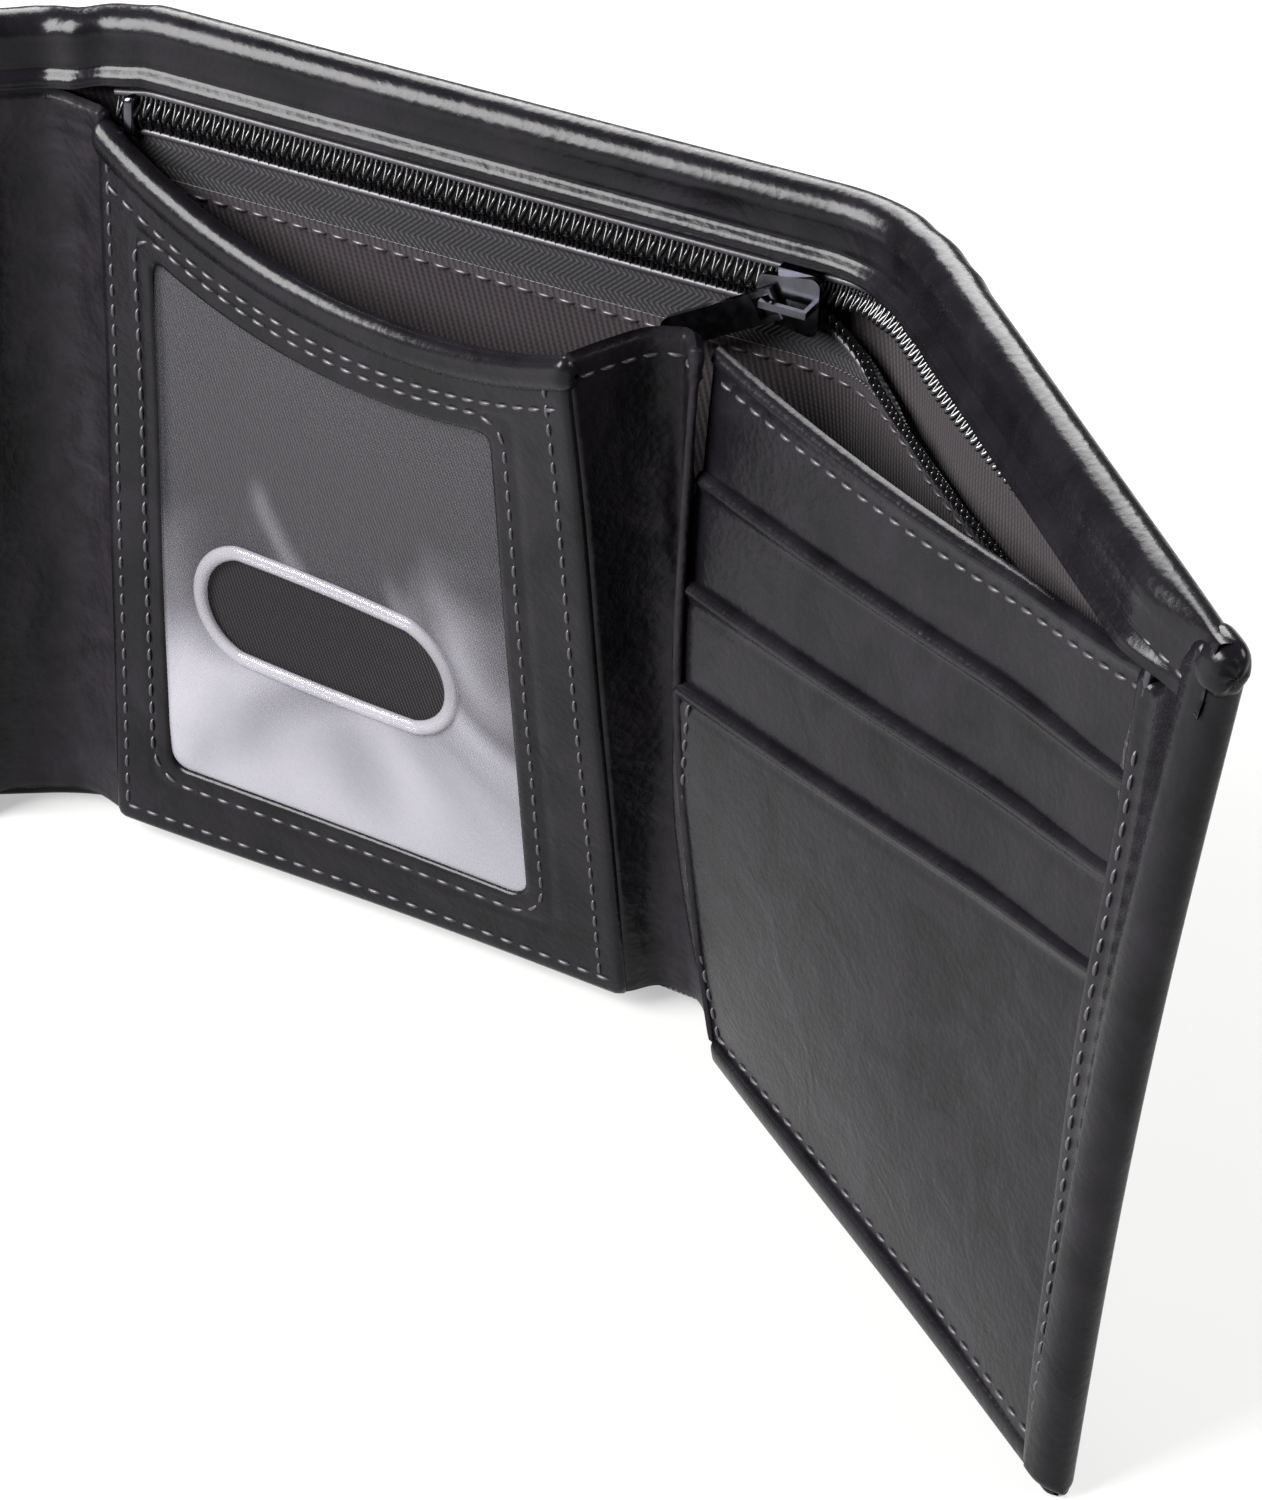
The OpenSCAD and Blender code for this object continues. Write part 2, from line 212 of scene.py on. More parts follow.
@dataclass(frozen=True)
class CoverPath:
    """The cover's inner face: a bottom and a top outline in plan, joined by straight lines.

    Each outline has a corner at each fold, which a moving average rounds. The right fold stands
    further out at the top, where the bill compartment gapes.
    """

    wing_w: float = 82.0
    left_angle: float = 33.0
    corners_bottom: tuple[float, float] = (0.0, CENTRE_W - 4.0)
    corners_top: tuple[float, float] = (3.0, CENTRE_W + 7.2)
    end_bottom: tuple[float, float] = (153.3, -57.4)
    end_top: tuple[float, float] = (159.6, -56.6)
    bend: float = 8.0

    def outline(self, t: np.ndarray, corners: tuple[float, float], end: tuple[float, float]) -> np.ndarray:
        """Return one outline's points at t: straight stretches with rounded corners."""
        angle = math.radians(self.left_angle)
        first, second = corners
        knots = np.array([-2 * self.wing_w, 0.0, CENTRE_W, CENTRE_W + 2 * self.wing_w])
        xs = np.array([first - 2 * self.wing_w * math.cos(angle), first, second, 2 * end[0] - second])
        ys = np.array([-2 * self.wing_w * math.sin(angle), 0.0, 0.0, 2 * end[1]])
        window = np.linspace(-self.bend, self.bend, 25)
        at = np.asarray(t, float)[..., None] + window
        return np.stack([np.interp(at, knots, xs).mean(-1), np.interp(at, knots, ys).mean(-1)], -1)

    def plan(self, t: np.ndarray, z: np.ndarray) -> np.ndarray:
        """Return the inner face's plan points at t and z."""
        low = self.outline(t, self.corners_bottom, self.end_bottom)
        high = self.outline(t, self.corners_top, self.end_top)
        w = np.clip(np.asarray(z, float) / COVER_H, 0, 1.05)[..., None]
        return low * (1 - w) + high * w

    def at(self, t: np.ndarray, z: np.ndarray, out: np.ndarray | float) -> np.ndarray:
        """Return points that stand out from the inner face towards the back.

        Args:
            t: Distance along the cover from the left fold line.
            z: Height.
            out: Distance towards the back; the inner side is negative.

        Returns:
            Points shaped like t and z, with a last axis of 3.
        """
        t, z, out = np.broadcast_arrays(*(np.asarray(v, float) for v in (t, z, out)))
        along = self.plan(t + 0.5, z) - self.plan(t - 0.5, z)
        along /= np.linalg.norm(along, axis=-1, keepdims=True)
        back = np.stack([-along[..., 1], along[..., 0]], -1)
        soft = self.softness(t, z)
        flat = self.plan(t, z) + back * (out + soft)[..., None]
        sag = 1 - 0.02 * np.clip((8.0 - t) / 14.0, 0, 1) - 0.03 * np.clip((t - 110.0) / 66.0, 0, 1) ** 2
        return np.concatenate([flat, (z * sag)[..., None]], -1)

    def along(self, x: float, z: float) -> float:
        """Return the distance t at which the cover's inner face stands at x and at a height z."""
        t = np.linspace(-20.0, CENTRE_W, 800)
        return float(np.interp(x, self.plan(t, np.full_like(t, z))[:, 0], t))

    def softness(self, t: np.ndarray, z: np.ndarray) -> np.ndarray:
        """Return the leather's slow waves, and the creases that run down from the top at each fold."""
        height = np.clip(z / COVER_H, 0, 1)
        waves = 0.25 * ripple(t, z, 3, 70.0, 6) * height * (1 - 0.9 * ridge(t, 52.0, 46.0))
        left = -0.9 * ridge(t, -1.5, 2.4) + 0.6 * ridge(t, -6.5, 2.6) - 0.4 * ridge(t, 5.5, 2.4)
        right = -0.35 * ridge(t, 101.5, 2.2) + 0.25 * ridge(t, 106.0, 3.0) + 0.3 * ridge(t, 112.0, 2.0)
        q = np.clip((t - 138.0) / 40.0, 0, 1)
        return waves + (left + right) * height**3 - 1.3 * np.sin(np.pi * height) * q * q * (3 - 2 * q)


@dataclass(frozen=True)
class InnerFace:
    """An inner panel's front: a ruled face between a bottom and a top line, each in plan."""

    bottom: tuple[tuple[float, float], tuple[float, float]]
    top: tuple[tuple[float, float], tuple[float, float]]
    width: float
    belly: float = 0.0
    hollow: float = 0.0
    seed: int = 1

    def at(self, x: np.ndarray, z: np.ndarray, out: np.ndarray | float) -> np.ndarray:
        """Return points on the panel.

        Args:
            x: Distance from the panel's first edge, in mm of its width.
            z: Height.
            out: Distance towards the front.

        Returns:
            Points shaped like x and z, with a last axis of 3.
        """
        x, z, out = np.broadcast_arrays(*(np.asarray(v, float) for v in (x, z, out)))
        u, v = (x / self.width)[..., None], (z / INNER_H)[..., None]
        (b0, b1), (t0, t1) = np.array(self.bottom), np.array(self.top)
        flat = (b0 * (1 - u) + b1 * u) * (1 - v) + (t0 * (1 - u) + t1 * u) * v
        along = (b1 - b0) * (1 - v) + (t1 - t0) * v
        along = along / np.linalg.norm(along, axis=-1, keepdims=True)
        front = np.stack([along[..., 1], -along[..., 0]], -1)
        if b1[0] < b0[0]:
            front = -front
        soft = self.belly * np.sin(np.pi * np.clip(v, 0, 1)) * np.clip(1 - u, 0, 1.2) ** 1.5
        soft = soft + self.hollow * np.sin(np.pi * np.clip(v, 0, 1)) * np.clip(u, 0, 1.1) ** 3
        soft = soft + 0.22 * ripple(x, z, self.seed, 55.0, 6)[..., None]
        flat = flat + front * (out[..., None] + soft)
        return np.concatenate([flat, z[..., None]], -1)


COVER = CoverPath()
SLIDER_T = COVER.along(SLIDER_X, ZIP_Z)
CENTRE_FACE = InnerFace(
    bottom=((5.0, -5.4), (77.6, -6.6)), top=((6.6, -5.2), (75.5, -22.6)), width=72.0, seed=11
)
RIGHT_FACE = InnerFace(
    bottom=((90.7, -9.9), (150.9, -56.0)),
    top=((85.6, -14.2), (151.2, -50.1)),
    width=74.0,
    belly=4.0,
    hollow=1.2,
    seed=12,
)
LEFT_FACE = InnerFace(
    bottom=((-10.5, -11.6), (-62.6, -48.2)),
    top=((-8.0, -12.0), (-60.8, -47.4)),
    width=64.0,
    belly=1.0,
    seed=13,
)


# ---------------------------------------------------------------------------------------------
# Finishes
# ---------------------------------------------------------------------------------------------


def linear(colour: str) -> tuple[float, float, float, float]:
    """Turn an sRGB hex colour into linear values with an alpha of 1."""
    parts = [int(colour[k : k + 2], 16) / 255 for k in (1, 3, 5)]
    return tuple(c / 12.92 if c <= 0.04045 else ((c + 0.055) / 1.055) ** 2.4 for c in parts) + (1.0,)


def add(tree: bpy.types.NodeTree, kind: str, links: dict | None = None, **settings) -> bpy.types.Node:
    """Add a node.

    Args:
        tree: The material's node tree.
        kind: The node's type name.
        links: For each input, by name or number, a value or the output that feeds it.
        settings: Attributes of the node.

    Returns:
        The node.
    """
    node = tree.nodes.new(kind)
    for key, value in settings.items():
        setattr(node, key, value)
    for key, value in (links or {}).items():
        if isinstance(value, bpy.types.NodeSocket):
            tree.links.new(value, node.inputs[key])
        else:
            node.inputs[key].default_value = value
    return node


def blank(name: str) -> tuple[bpy.types.Material, bpy.types.NodeTree, bpy.types.Node]:
    """Return a new material, its tree and its Principled shader."""
    material = bpy.data.materials.new(name)
    material.use_nodes = True
    tree = material.node_tree
    return material, tree, tree.nodes["Principled BSDF"]


@dataclass(frozen=True)
class Leather:
    """Smooth cowhide, drum dyed black and finished with a thin glossy polyurethane coat.

    The coat gives a broad soft sheen, broken by the fine pebbles and pores of the grain.
    """

    name: str
    colour: str = "#080709"
    worn: str = "#131115"
    roughness: float = 0.24
    grain_mm: float = 0.9
    pore_mm: float = 0.35
    depth_mm: float = 0.05
    crease_mm: float = 9.0
    crease_depth_mm: float = 0.1

    def build(self) -> bpy.types.Material:
        """Return the material."""
        material, tree, shader = blank(self.name)
        place_out = add(tree, "ShaderNodeTexCoord").outputs["Object"]
        pebble = add(tree, "ShaderNodeTexVoronoi", {"Vector": place_out, "Scale": 1 / (self.grain_mm * MM)})
        pores = {"Scale": 1 / (self.pore_mm * MM), "Detail": 3.0, "Roughness": 0.6}
        fine = add(tree, "ShaderNodeTexNoise", {"Vector": place_out, **pores})
        creases = {"Scale": 1 / (self.crease_mm * MM), "Detail": 4.0, "Roughness": 0.55, "Distortion": 0.8}
        slow = add(tree, "ShaderNodeTexNoise", {"Vector": place_out, **creases})
        mottled = add(
            tree, "ShaderNodeMapRange", {"Value": slow.outputs[0], "From Min": 0.35, "From Max": 0.75}
        )
        tint = add(
            tree,
            "ShaderNodeMix",
            {"Factor": mottled.outputs[0], 6: linear(self.colour), 7: linear(self.worn)},
            data_type="RGBA",
        )
        gloss = add(
            tree,
            "ShaderNodeMapRange",
            {"Value": fine.outputs[0], "To Min": self.roughness - 0.05, "To Max": self.roughness + 0.09},
        )
        depth = self.depth_mm * MM
        low = add(
            tree,
            "ShaderNodeBump",
            {"Height": slow.outputs[0], "Distance": self.crease_depth_mm * MM * 4, "Strength": 0.5},
        )
        mid = add(
            tree,
            "ShaderNodeBump",
            {
                "Height": pebble.outputs["Distance"],
                "Distance": depth,
                "Strength": 0.6,
                "Normal": low.outputs[0],
            },
        )
        top = add(
            tree,
            "ShaderNodeBump",
            {"Height": fine.outputs[0], "Distance": depth * 0.5, "Strength": 0.5, "Normal": mid.outputs[0]},
        )
        tree.links.new(tint.outputs[2], shader.inputs["Base Color"])
        tree.links.new(gloss.outputs[0], shader.inputs["Roughness"])
        tree.links.new(top.outputs[0], shader.inputs["Normal"])
        shader.inputs["Specular IOR Level"].default_value = 0.12
        shader.inputs["Coat Weight"].default_value = 0.05
        shader.inputs["Coat Roughness"].default_value = 0.16
        return material


@dataclass(frozen=True)
class Cloth:
    """Woven polyester, dyed in the yarn, which looks dull with a faint sheen along its threads. Its colour is
    painted lighter on the raised threads and darker in the grooves: painted shade in the weave.
    """

    name: str
    weave: Weave
    colour: str = "#171316"
    # light is the colour painted on the raised threads, a painted highlight.
    light: str = "#2b2527"
    thread_mm: float = 0.75
    column_mm: float = 2.4
    sheen: float = 0.2

    def build(self) -> bpy.types.Material:
        """Return the material; threads follow the piece's own UV map, which is in metres."""
        material, tree, shader = blank(self.name)
        uv = add(tree, "ShaderNodeUVMap", uv_map="cloth").outputs[0]
        parts = add(tree, "ShaderNodeSeparateXYZ", {0: uv})
        along, up = parts.outputs[0], parts.outputs[1]
        if self.weave is Weave.HERRINGBONE:
            cell = add(tree, "ShaderNodeMath", {0: up, 1: self.column_mm * MM}, operation="PINGPONG")
            slant = add(tree, "ShaderNodeMath", {0: along, 1: cell.outputs[0]}, operation="ADD").outputs[0]
        else:
            lean = add(tree, "ShaderNodeMath", {0: up, 1: 0.35}, operation="MULTIPLY")
            slant = add(tree, "ShaderNodeMath", {0: along, 1: lean.outputs[0]}, operation="ADD").outputs[0]
        turn = math.tau / (self.thread_mm * MM)
        phase = add(tree, "ShaderNodeMath", {0: slant, 1: turn}, operation="MULTIPLY")
        wave = add(tree, "ShaderNodeMath", {0: phase.outputs[0]}, operation="SINE")
        cross = add(tree, "ShaderNodeMath", {0: up, 1: turn * 1.3}, operation="MULTIPLY")
        cross_wave = add(tree, "ShaderNodeMath", {0: cross.outputs[0]}, operation="SINE")
        small = add(tree, "ShaderNodeMath", {0: cross_wave.outputs[0], 1: 0.35}, operation="MULTIPLY")
        both = add(tree, "ShaderNodeMath", {0: wave.outputs[0], 1: small.outputs[0]}, operation="ADD")
        height = add(
            tree, "ShaderNodeMapRange", {"Value": both.outputs[0], "From Min": -1.35, "From Max": 1.35}
        )
        fuzz = add(tree, "ShaderNodeTexNoise", {"Vector": uv, "Scale": 1 / (0.3 * MM), "Detail": 2.0})
        shade = add(tree, "ShaderNodeMath", {0: height.outputs[0], 1: fuzz.outputs[0]}, operation="MULTIPLY")
        # Painted shade in the weave: the tint is darker in the grooves and lighter on the raised threads, broken
        # up by the fuzz noise.
        tint = add(
            tree,
            "ShaderNodeMix",
            {"Factor": shade.outputs[0], 6: linear(self.colour), 7: linear(self.light)},
            data_type="RGBA",
        )
        bump = add(
            tree, "ShaderNodeBump", {"Height": height.outputs[0], "Distance": 0.16 * MM, "Strength": 0.8}
        )
        tree.links.new(tint.outputs[2], shader.inputs["Base Color"])
        tree.links.new(bump.outputs[0], shader.inputs["Normal"])
        shader.inputs["Roughness"].default_value = 0.72
        shader.inputs["Specular IOR Level"].default_value = 0.14
        shader.inputs["Sheen Weight"].default_value = self.sheen
        shader.inputs["Sheen Roughness"].default_value = 0.4
        return material


@dataclass(frozen=True)
class Plain:
    """A solid finish with a fine uneven surface: nylon, thread, or plated and lacquered metal."""

    name: str
    colour: str
    light: str
    roughness: float
    metallic: float = 0.0
    mark_mm: float = 0.5
    mark_depth_mm: float = 0.01
    coat: float = 0.0

    def build(self) -> bpy.types.Material:
        """Return the material."""
        material, tree, shader = blank(self.name)
        place_out = add(tree, "ShaderNodeTexCoord").outputs["Object"]
        marks = add(
            tree, "ShaderNodeTexNoise", {"Vector": place_out, "Scale": 1 / (self.mark_mm * MM), "Detail": 4.0}
        )
        tint = add(
            tree,
            "ShaderNodeMix",
            {"Factor": marks.outputs[0], 6: linear(self.colour), 7: linear(self.light)},
            data_type="RGBA",
        )
        smoothest, roughest = max(self.roughness - 0.08, 0.03), self.roughness + 0.1
        gloss = add(
            tree,
            "ShaderNodeMapRange",
            {"Value": marks.outputs[0], "To Min": smoothest, "To Max": roughest},
        )
        bump = add(
            tree,
            "ShaderNodeBump",
            {"Height": marks.outputs[0], "Distance": self.mark_depth_mm * MM, "Strength": 0.5},
        )
        tree.links.new(tint.outputs[2], shader.inputs["Base Color"])
        tree.links.new(gloss.outputs[0], shader.inputs["Roughness"])
        tree.links.new(bump.outputs[0], shader.inputs["Normal"])
        shader.inputs["Metallic"].default_value = self.metallic
        shader.inputs["Coat Weight"].default_value = self.coat
        shader.inputs["Coat Roughness"].default_value = 0.1
        return material


@dataclass(frozen=True)
class Vinyl:
    """Calendered clear PVC with a slack lower part, over which a pale reflection of the table is painted."""

    name: str
    # The pale grey colour, laid on with an alpha that rises from low_alpha near the top to high_alpha near the
    # bottom, is a painted reflection of the table.
    colour: str = "#96949b"
    low_alpha: float = 0.03
    high_alpha: float = 0.55
    reflection_fade_z: float = 54.0
    full_reflection_z: float = 4.0
    roughness: float = 0.16

    def build(self) -> bpy.types.Material:
        """Return the material; the painted pale reflection thickens downwards, with a wavy border."""
        material, tree, shader = blank(self.name)
        place_out = add(tree, "ShaderNodeTexCoord").outputs["Object"]
        slack = add(tree, "ShaderNodeTexNoise", {"Vector": place_out, "Scale": 1 / (30 * MM), "Detail": 1.0})
        reflection_wobble = add(
            tree,
            "ShaderNodeTexNoise",
            {"Vector": place_out, "Scale": 1 / (34 * MM), "Detail": 1.5, "Distortion": 1.4},
        )
        height = add(tree, "ShaderNodeSeparateXYZ", {0: place_out}).outputs[2]
        wavy = add(
            tree,
            "ShaderNodeMath",
            {0: reflection_wobble.outputs[0], 1: 70 * MM, 2: height},
            operation="MULTIPLY_ADD",
        )
        # Painted reflection: the pale colour's alpha rises towards the bottom, with a border made wavy by noise.
        share = add(
            tree,
            "ShaderNodeMapRange",
            {
                "Value": wavy.outputs[0],
                "From Min": (self.reflection_fade_z + 35) * MM,
                "From Max": (self.full_reflection_z + 35) * MM,
                "To Min": self.low_alpha,
                "To Max": self.high_alpha,
            },
            interpolation_type="SMOOTHSTEP",
        )
        bump = add(
            tree, "ShaderNodeBump", {"Height": slack.outputs[0], "Distance": 1.0 * MM, "Strength": 0.3}
        )
        tree.links.new(bump.outputs[0], shader.inputs["Normal"])
        tree.links.new(share.outputs[0], shader.inputs["Alpha"])
        shader.inputs["Base Color"].default_value = linear(self.colour)
        shader.inputs["Roughness"].default_value = self.roughness
        shader.inputs["IOR"].default_value = 1.5
        shader.inputs["Specular IOR Level"].default_value = 0.3
        return material


@dataclass
class Finishes:
    """Every finish of the wallet, each made once."""

    leather: bpy.types.Material = field(default_factory=lambda: Leather("black_smooth_cowhide").build())
    gusset: bpy.types.Material = field(
        default_factory=lambda: Leather(
            "black_pebbled_gusset_hide",
            colour="#0c0a0d",
            worn="#19161b",
            roughness=0.4,
            grain_mm=1.1,
            depth_mm=0.14,
            crease_mm=6.0,
            crease_depth_mm=0.2,
        ).build()
    )
    lining: bpy.types.Material = field(
        default_factory=lambda: Cloth("ribbed_lining_twill", Weave.TWILL).build()
    )
    # The backing's cloth is darker than the lining's: painted shade, as it lies behind the clear sheet.
    backing: bpy.types.Material = field(
        default_factory=lambda: Cloth(
            "pocket_backing_painted_shade", Weave.TWILL, colour="#0c0a0c", light="#141114", thread_mm=0.5, sheen=0.05
        ).build()
    )
    tape: bpy.types.Material = field(
        default_factory=lambda: Cloth(
            "herringbone_zip_tape", Weave.HERRINGBONE, colour="#121113", light="#2c2a2e", thread_mm=0.7
        ).build()
    )
    coil: bpy.types.Material = field(
        default_factory=lambda: Plain("moulded_black_nylon", "#131315", "#1d1d20", 0.2, coat=0.4).build()
    )
    metal: bpy.types.Material = field(
        default_factory=lambda: Plain(
            "black_nickel_plated_zinc", "#38383c", "#5c5c62", 0.2, metallic=1.0, mark_mm=1.4
        ).build()
    )
    thread: bpy.types.Material = field(
        default_factory=lambda: Plain(
            "bonded_black_thread", "#1d1a1f", "#39353b", 0.42, mark_mm=0.25, mark_depth_mm=0.05
        ).build()
    )
    vinyl: bpy.types.Material = field(default_factory=lambda: Vinyl("clear_pvc_sheet").build())


FINISH = Finishes()


def dress(
    piece: bpy.types.Object,
    material: bpy.types.Material,
    body: Body | None = None,
    nodes: tuple[str, ...] = (),
) -> bpy.types.Object:
    """Give a piece its finish, its body and the CAD nodes that it stands for."""
    piece.data.materials.clear()
    piece.data.materials.append(material)
    if body is not None:
        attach(piece, body.value)
    if nodes:
        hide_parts(*nodes)
    LOG.info("%s: %d points", piece.name, len(piece.data.vertices))
    return piece


def bend_right(piece: bpy.types.Object) -> None:
    """Bake a piece's placing into its points."""
    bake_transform(piece)


def bend_left(piece: bpy.types.Object) -> None:
    """Bake a piece's placing into its points."""
    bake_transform(piece)


# ---------------------------------------------------------------------------------------------
# Sewing
# ---------------------------------------------------------------------------------------------


@dataclass(frozen=True)
class Seam:
    """A row of lock stitches: each shows as a short thread that dips into the leather at both ends."""

    pitch: float = 2.6
    length: float = 2.1
    radius: float = 0.26

    def sew(self, name: str, line: np.ndarray, front: np.ndarray) -> bpy.types.Object:
        """Sew along a line.

        Args:
            name: The piece's name.
            line: Points on the surface, in order, in mm.
            front: The surface's outward direction at each point.

        Returns:
            One piece with all of the row's stitches.
        """
        step = np.linalg.norm(np.diff(line, axis=0), axis=1)
        run = np.concatenate([[0], np.cumsum(step)])
        count = max(int(run[-1] / self.pitch), 2)
        at = (np.arange(count) + 0.5) * run[-1] / count

        def along(values: np.ndarray, where: np.ndarray) -> np.ndarray:
            """Read values at distances along the line."""
            return np.stack([np.interp(where, run, values[:, k]) for k in range(3)], -1)

        rings, sides = 7, 6
        s = np.linspace(-1, 1, rings)
        angle = np.arange(sides) * math.tau / sides
        where = at[:, None] + s[None, :] * self.length / 2
        centre = along(line, where.ravel()).reshape(count, rings, 3)
        up = along(front, where.ravel()).reshape(count, rings, 3)
        up /= np.linalg.norm(up, axis=-1, keepdims=True)
        ahead = along(line, where.ravel() + 0.05) - along(line, where.ravel() - 0.05)
        ahead /= np.maximum(np.linalg.norm(ahead, axis=-1, keepdims=True), 1e-6)
        ahead = ahead.reshape(count, rings, 3)
        side = np.cross(ahead, up)
        fat = self.radius * np.sqrt(np.clip(1 - s**2, 0.02, 1))[None, :, None, None]
        lift = (0.16 - 0.3 * s**4)[None, :, None]
        ring = np.cos(angle)[:, None] * side[:, :, None, :] + np.sin(angle)[:, None] * up[:, :, None, :]
        points = (centre + up * lift)[:, :, None, :] + ring * fat
        faces = quads(rings, sides, wrap_cols=True)
        faces = (faces[None] + (np.arange(count) * rings * sides)[:, None, None]).reshape(-1, 4)
        return make_piece(name, points, faces)


SEAM = Seam()


# ---------------------------------------------------------------------------------------------
# Panels
# ---------------------------------------------------------------------------------------------


@dataclass(frozen=True)
class Panel:
    """A leather or cloth panel on an inner face, with rounded edges and a beaded top edge."""

    name: str
    face: InnerFace
    x0: float
    x1: float
    z0: float
    top: tuple[float, float]
    back: float
    thick: float
    dip: float = 0.0
    bead: float = 0.0
    crease: float = 0.0
    edge_r: float = 0.5
    bow: float = 0.0
    pinch: float = 0.0

    def top_at(self, x: np.ndarray) -> np.ndarray:
        """Return the top edge's height: a straight rise with a dip along a parabola."""
        q = (x - self.x0) / (self.x1 - self.x0)
        return self.top[0] * (1 - q) + self.top[1] * q - self.dip * 4 * q * (1 - q)

    def depth(self, x: np.ndarray) -> np.ndarray:
        """Return the depth of the panel's back, which lies closer to the front near a pinched end."""
        q = np.clip((x - self.x1 + 26.0) / 26.0, 0, 1)
        return self.back * (1 - self.pinch * q * q * (3 - 2 * q))

    def build(self) -> bpy.types.Object:
        """Return the panel: a front and a back grid that meet at rounded edges."""
        width = self.x1 - self.x0
        ex = spread(width, 2.0)
        height = self.top_at(np.array(self.x0 + ex)) - self.z0
        tall = float(height.max())
        ez = spread(tall, 1.0)
        q = ez / tall
        across = np.broadcast_to(ex[:, None], (len(ex), len(ez)))
        up = q[None, :] * height[:, None]
        left = np.minimum(across, width - across)
        below_top = height[:, None] - up
        edge = np.minimum(np.minimum(left, up), below_top)
        body = self.thick * rounding(edge, self.edge_r)
        body = body + self.bead * ridge(below_top, 1.0, 0.65) * rounding(edge, self.edge_r)
        body = body - self.crease * ridge(below_top, 2.6, 0.3)
        body = body - 0.16 * ridge(left, 2.6, 0.55) * rounding(edge, 1.0)
        x = self.x0 + across
        x = x - self.bow * np.sin(np.pi * q)[None, :] * (1 - across / width)
        depth = self.depth(x)
        front = self.face.at(x, self.z0 + up, depth + body)
        back = self.face.at(x, self.z0 + up, depth - 0.02)
        rows, cols = across.shape
        points = np.concatenate([front, back[:, ::-1]], axis=1)
        faces = quads(rows, 2 * cols, wrap_cols=True)
        ends = []
        for row, flip in ((0, False), (rows - 1, True)):
            j = np.arange(cols - 1)
            cap = row * 2 * cols + np.stack([j, j + 1, 2 * cols - 2 - j, 2 * cols - 1 - j], -1)
            ends.append(cap[:, ::-1] if flip else cap)
        uv = np.stack([x, self.z0 + up], -1) * MM
        uv = np.concatenate([uv, uv[:, ::-1]], axis=1)
        faces = np.concatenate([faces, *ends])
        piece = make_piece(self.name, points, faces, uv)
        return piece

    def line(self, kind: str, inset: float = 2.6) -> tuple[np.ndarray, np.ndarray]:
        """Return the points and directions of a seam near one edge: top, bottom, first or last."""
        n = 160
        if kind in ("top", "bottom"):
            x = np.linspace(self.x0 + 1.5, self.x1 - 1.5, n)
            z = self.top_at(x) - inset if kind == "top" else np.full(n, self.z0 + inset)
        else:
            start = self.x0 if kind == "first" else self.x1
            x = np.full(n, start + (inset if kind == "first" else -inset))
            z = np.linspace(self.z0 + 2.0, float(self.top_at(np.array([start]))[0]) - 1.5, n)
            if kind == "first":
                q = (z - self.z0) / (z[-1] - self.z0)
                x = x - self.bow * np.sin(np.pi * np.clip(q, 0, 1))
        here = self.face.at(x, z, self.depth(x) + self.thick - 0.1)
        front = self.face.at(x, z, self.depth(x) + self.thick + 1.0) - here
        return here, front


def ring_piece(
    name: str, inner: np.ndarray, outer: np.ndarray, face: InnerFace, profile: np.ndarray
) -> bpy.types.Object:
    """Make a plate with a hole: a closed profile carried round between two outlines.

    Args:
        name: The piece's name.
        inner: The hole's outline as x and z, shaped (n, 2).
        outer: The plate's outline, with as many points.
        face: The face that the plate lies on.
        profile: Pairs of place from hole (0) to outside (1) and height over the face.

    Returns:
        The piece.
    """
    q = profile[None, :, 0, None]
    flat = inner[:, None, :] * (1 - q) + outer[:, None, :] * q
    points = face.at(flat[..., 0], flat[..., 1], np.broadcast_to(profile[None, :, 1], flat.shape[:2]))
    return make_piece(name, points, quads(len(inner), len(profile), True, True), flat * MM)


def scoop_at(x: np.ndarray, dip: float, width: float) -> np.ndarray:
    """Return how far a scooped top edge lies below its ends, along a circular arc."""
    half = width / 2
    radius = (half * half + dip * dip) / (2 * dip)
    return np.sqrt(np.clip(radius**2 - (x - half) ** 2, 0, None)) - (radius - dip)


def rounded_outline(
    x0: float,
    x1: float,
    z0: float,
    z1: float,
    corner: float,
    scoop: float,
    tilt: float,
    width: float,
    per_side: int = 72,
) -> np.ndarray:
    """Return a rectangle with round corners whose top follows the panel's scoop.

    Args:
        x0: Left side.
        x1: Right side.
        z0: Lower side.
        z1: Height that the top side has at the panel's edges.
        corner: Corner radius.
        scoop: How far the scoop drops in the panel's middle.
        tilt: How much lower the top is at the panel's right edge than at its left.
        width: The panel's width.
        per_side: Points on each of the four sides, corners included.

    Returns:
        Points shaped (4 * per_side, 2), from the lower left, along the bottom, and round.
    """
    s = np.linspace(0, 1, per_side, endpoint=False)
    corners = [(x0, z0), (x1, z0), (x1, z1), (x0, z1)]
    sides = [
        np.stack([np.interp(s, [0, 1], [a[0], b[0]]), np.interp(s, [0, 1], [a[1], b[1]])], -1)
        for a, b in zip(corners, corners[1:] + corners[:1])
    ]
    points = np.concatenate(sides)
    centre_x = np.clip(points[:, 0], x0 + corner, x1 - corner)
    centre_z = np.clip(points[:, 1], z0 + corner, z1 - corner)
    away = points - np.stack([centre_x, centre_z], -1)
    reach = np.linalg.norm(away, axis=1, keepdims=True)
    in_corner = (np.abs(away) > 1e-9).all(axis=1, keepdims=True)
    shrink = np.where(in_corner, corner / np.maximum(reach, 1e-9), 1.0)
    rounded = np.stack([centre_x, centre_z], -1) + away * shrink
    share = np.clip((rounded[:, 1] - z0) / (z1 - z0), 0, 1) ** 3
    rounded[:, 1] -= share * (scoop_at(rounded[:, 0], scoop, width) + tilt * rounded[:, 0] / width)
    return rounded


# ---------------------------------------------------------------------------------------------
# The outer cover
# ---------------------------------------------------------------------------------------------


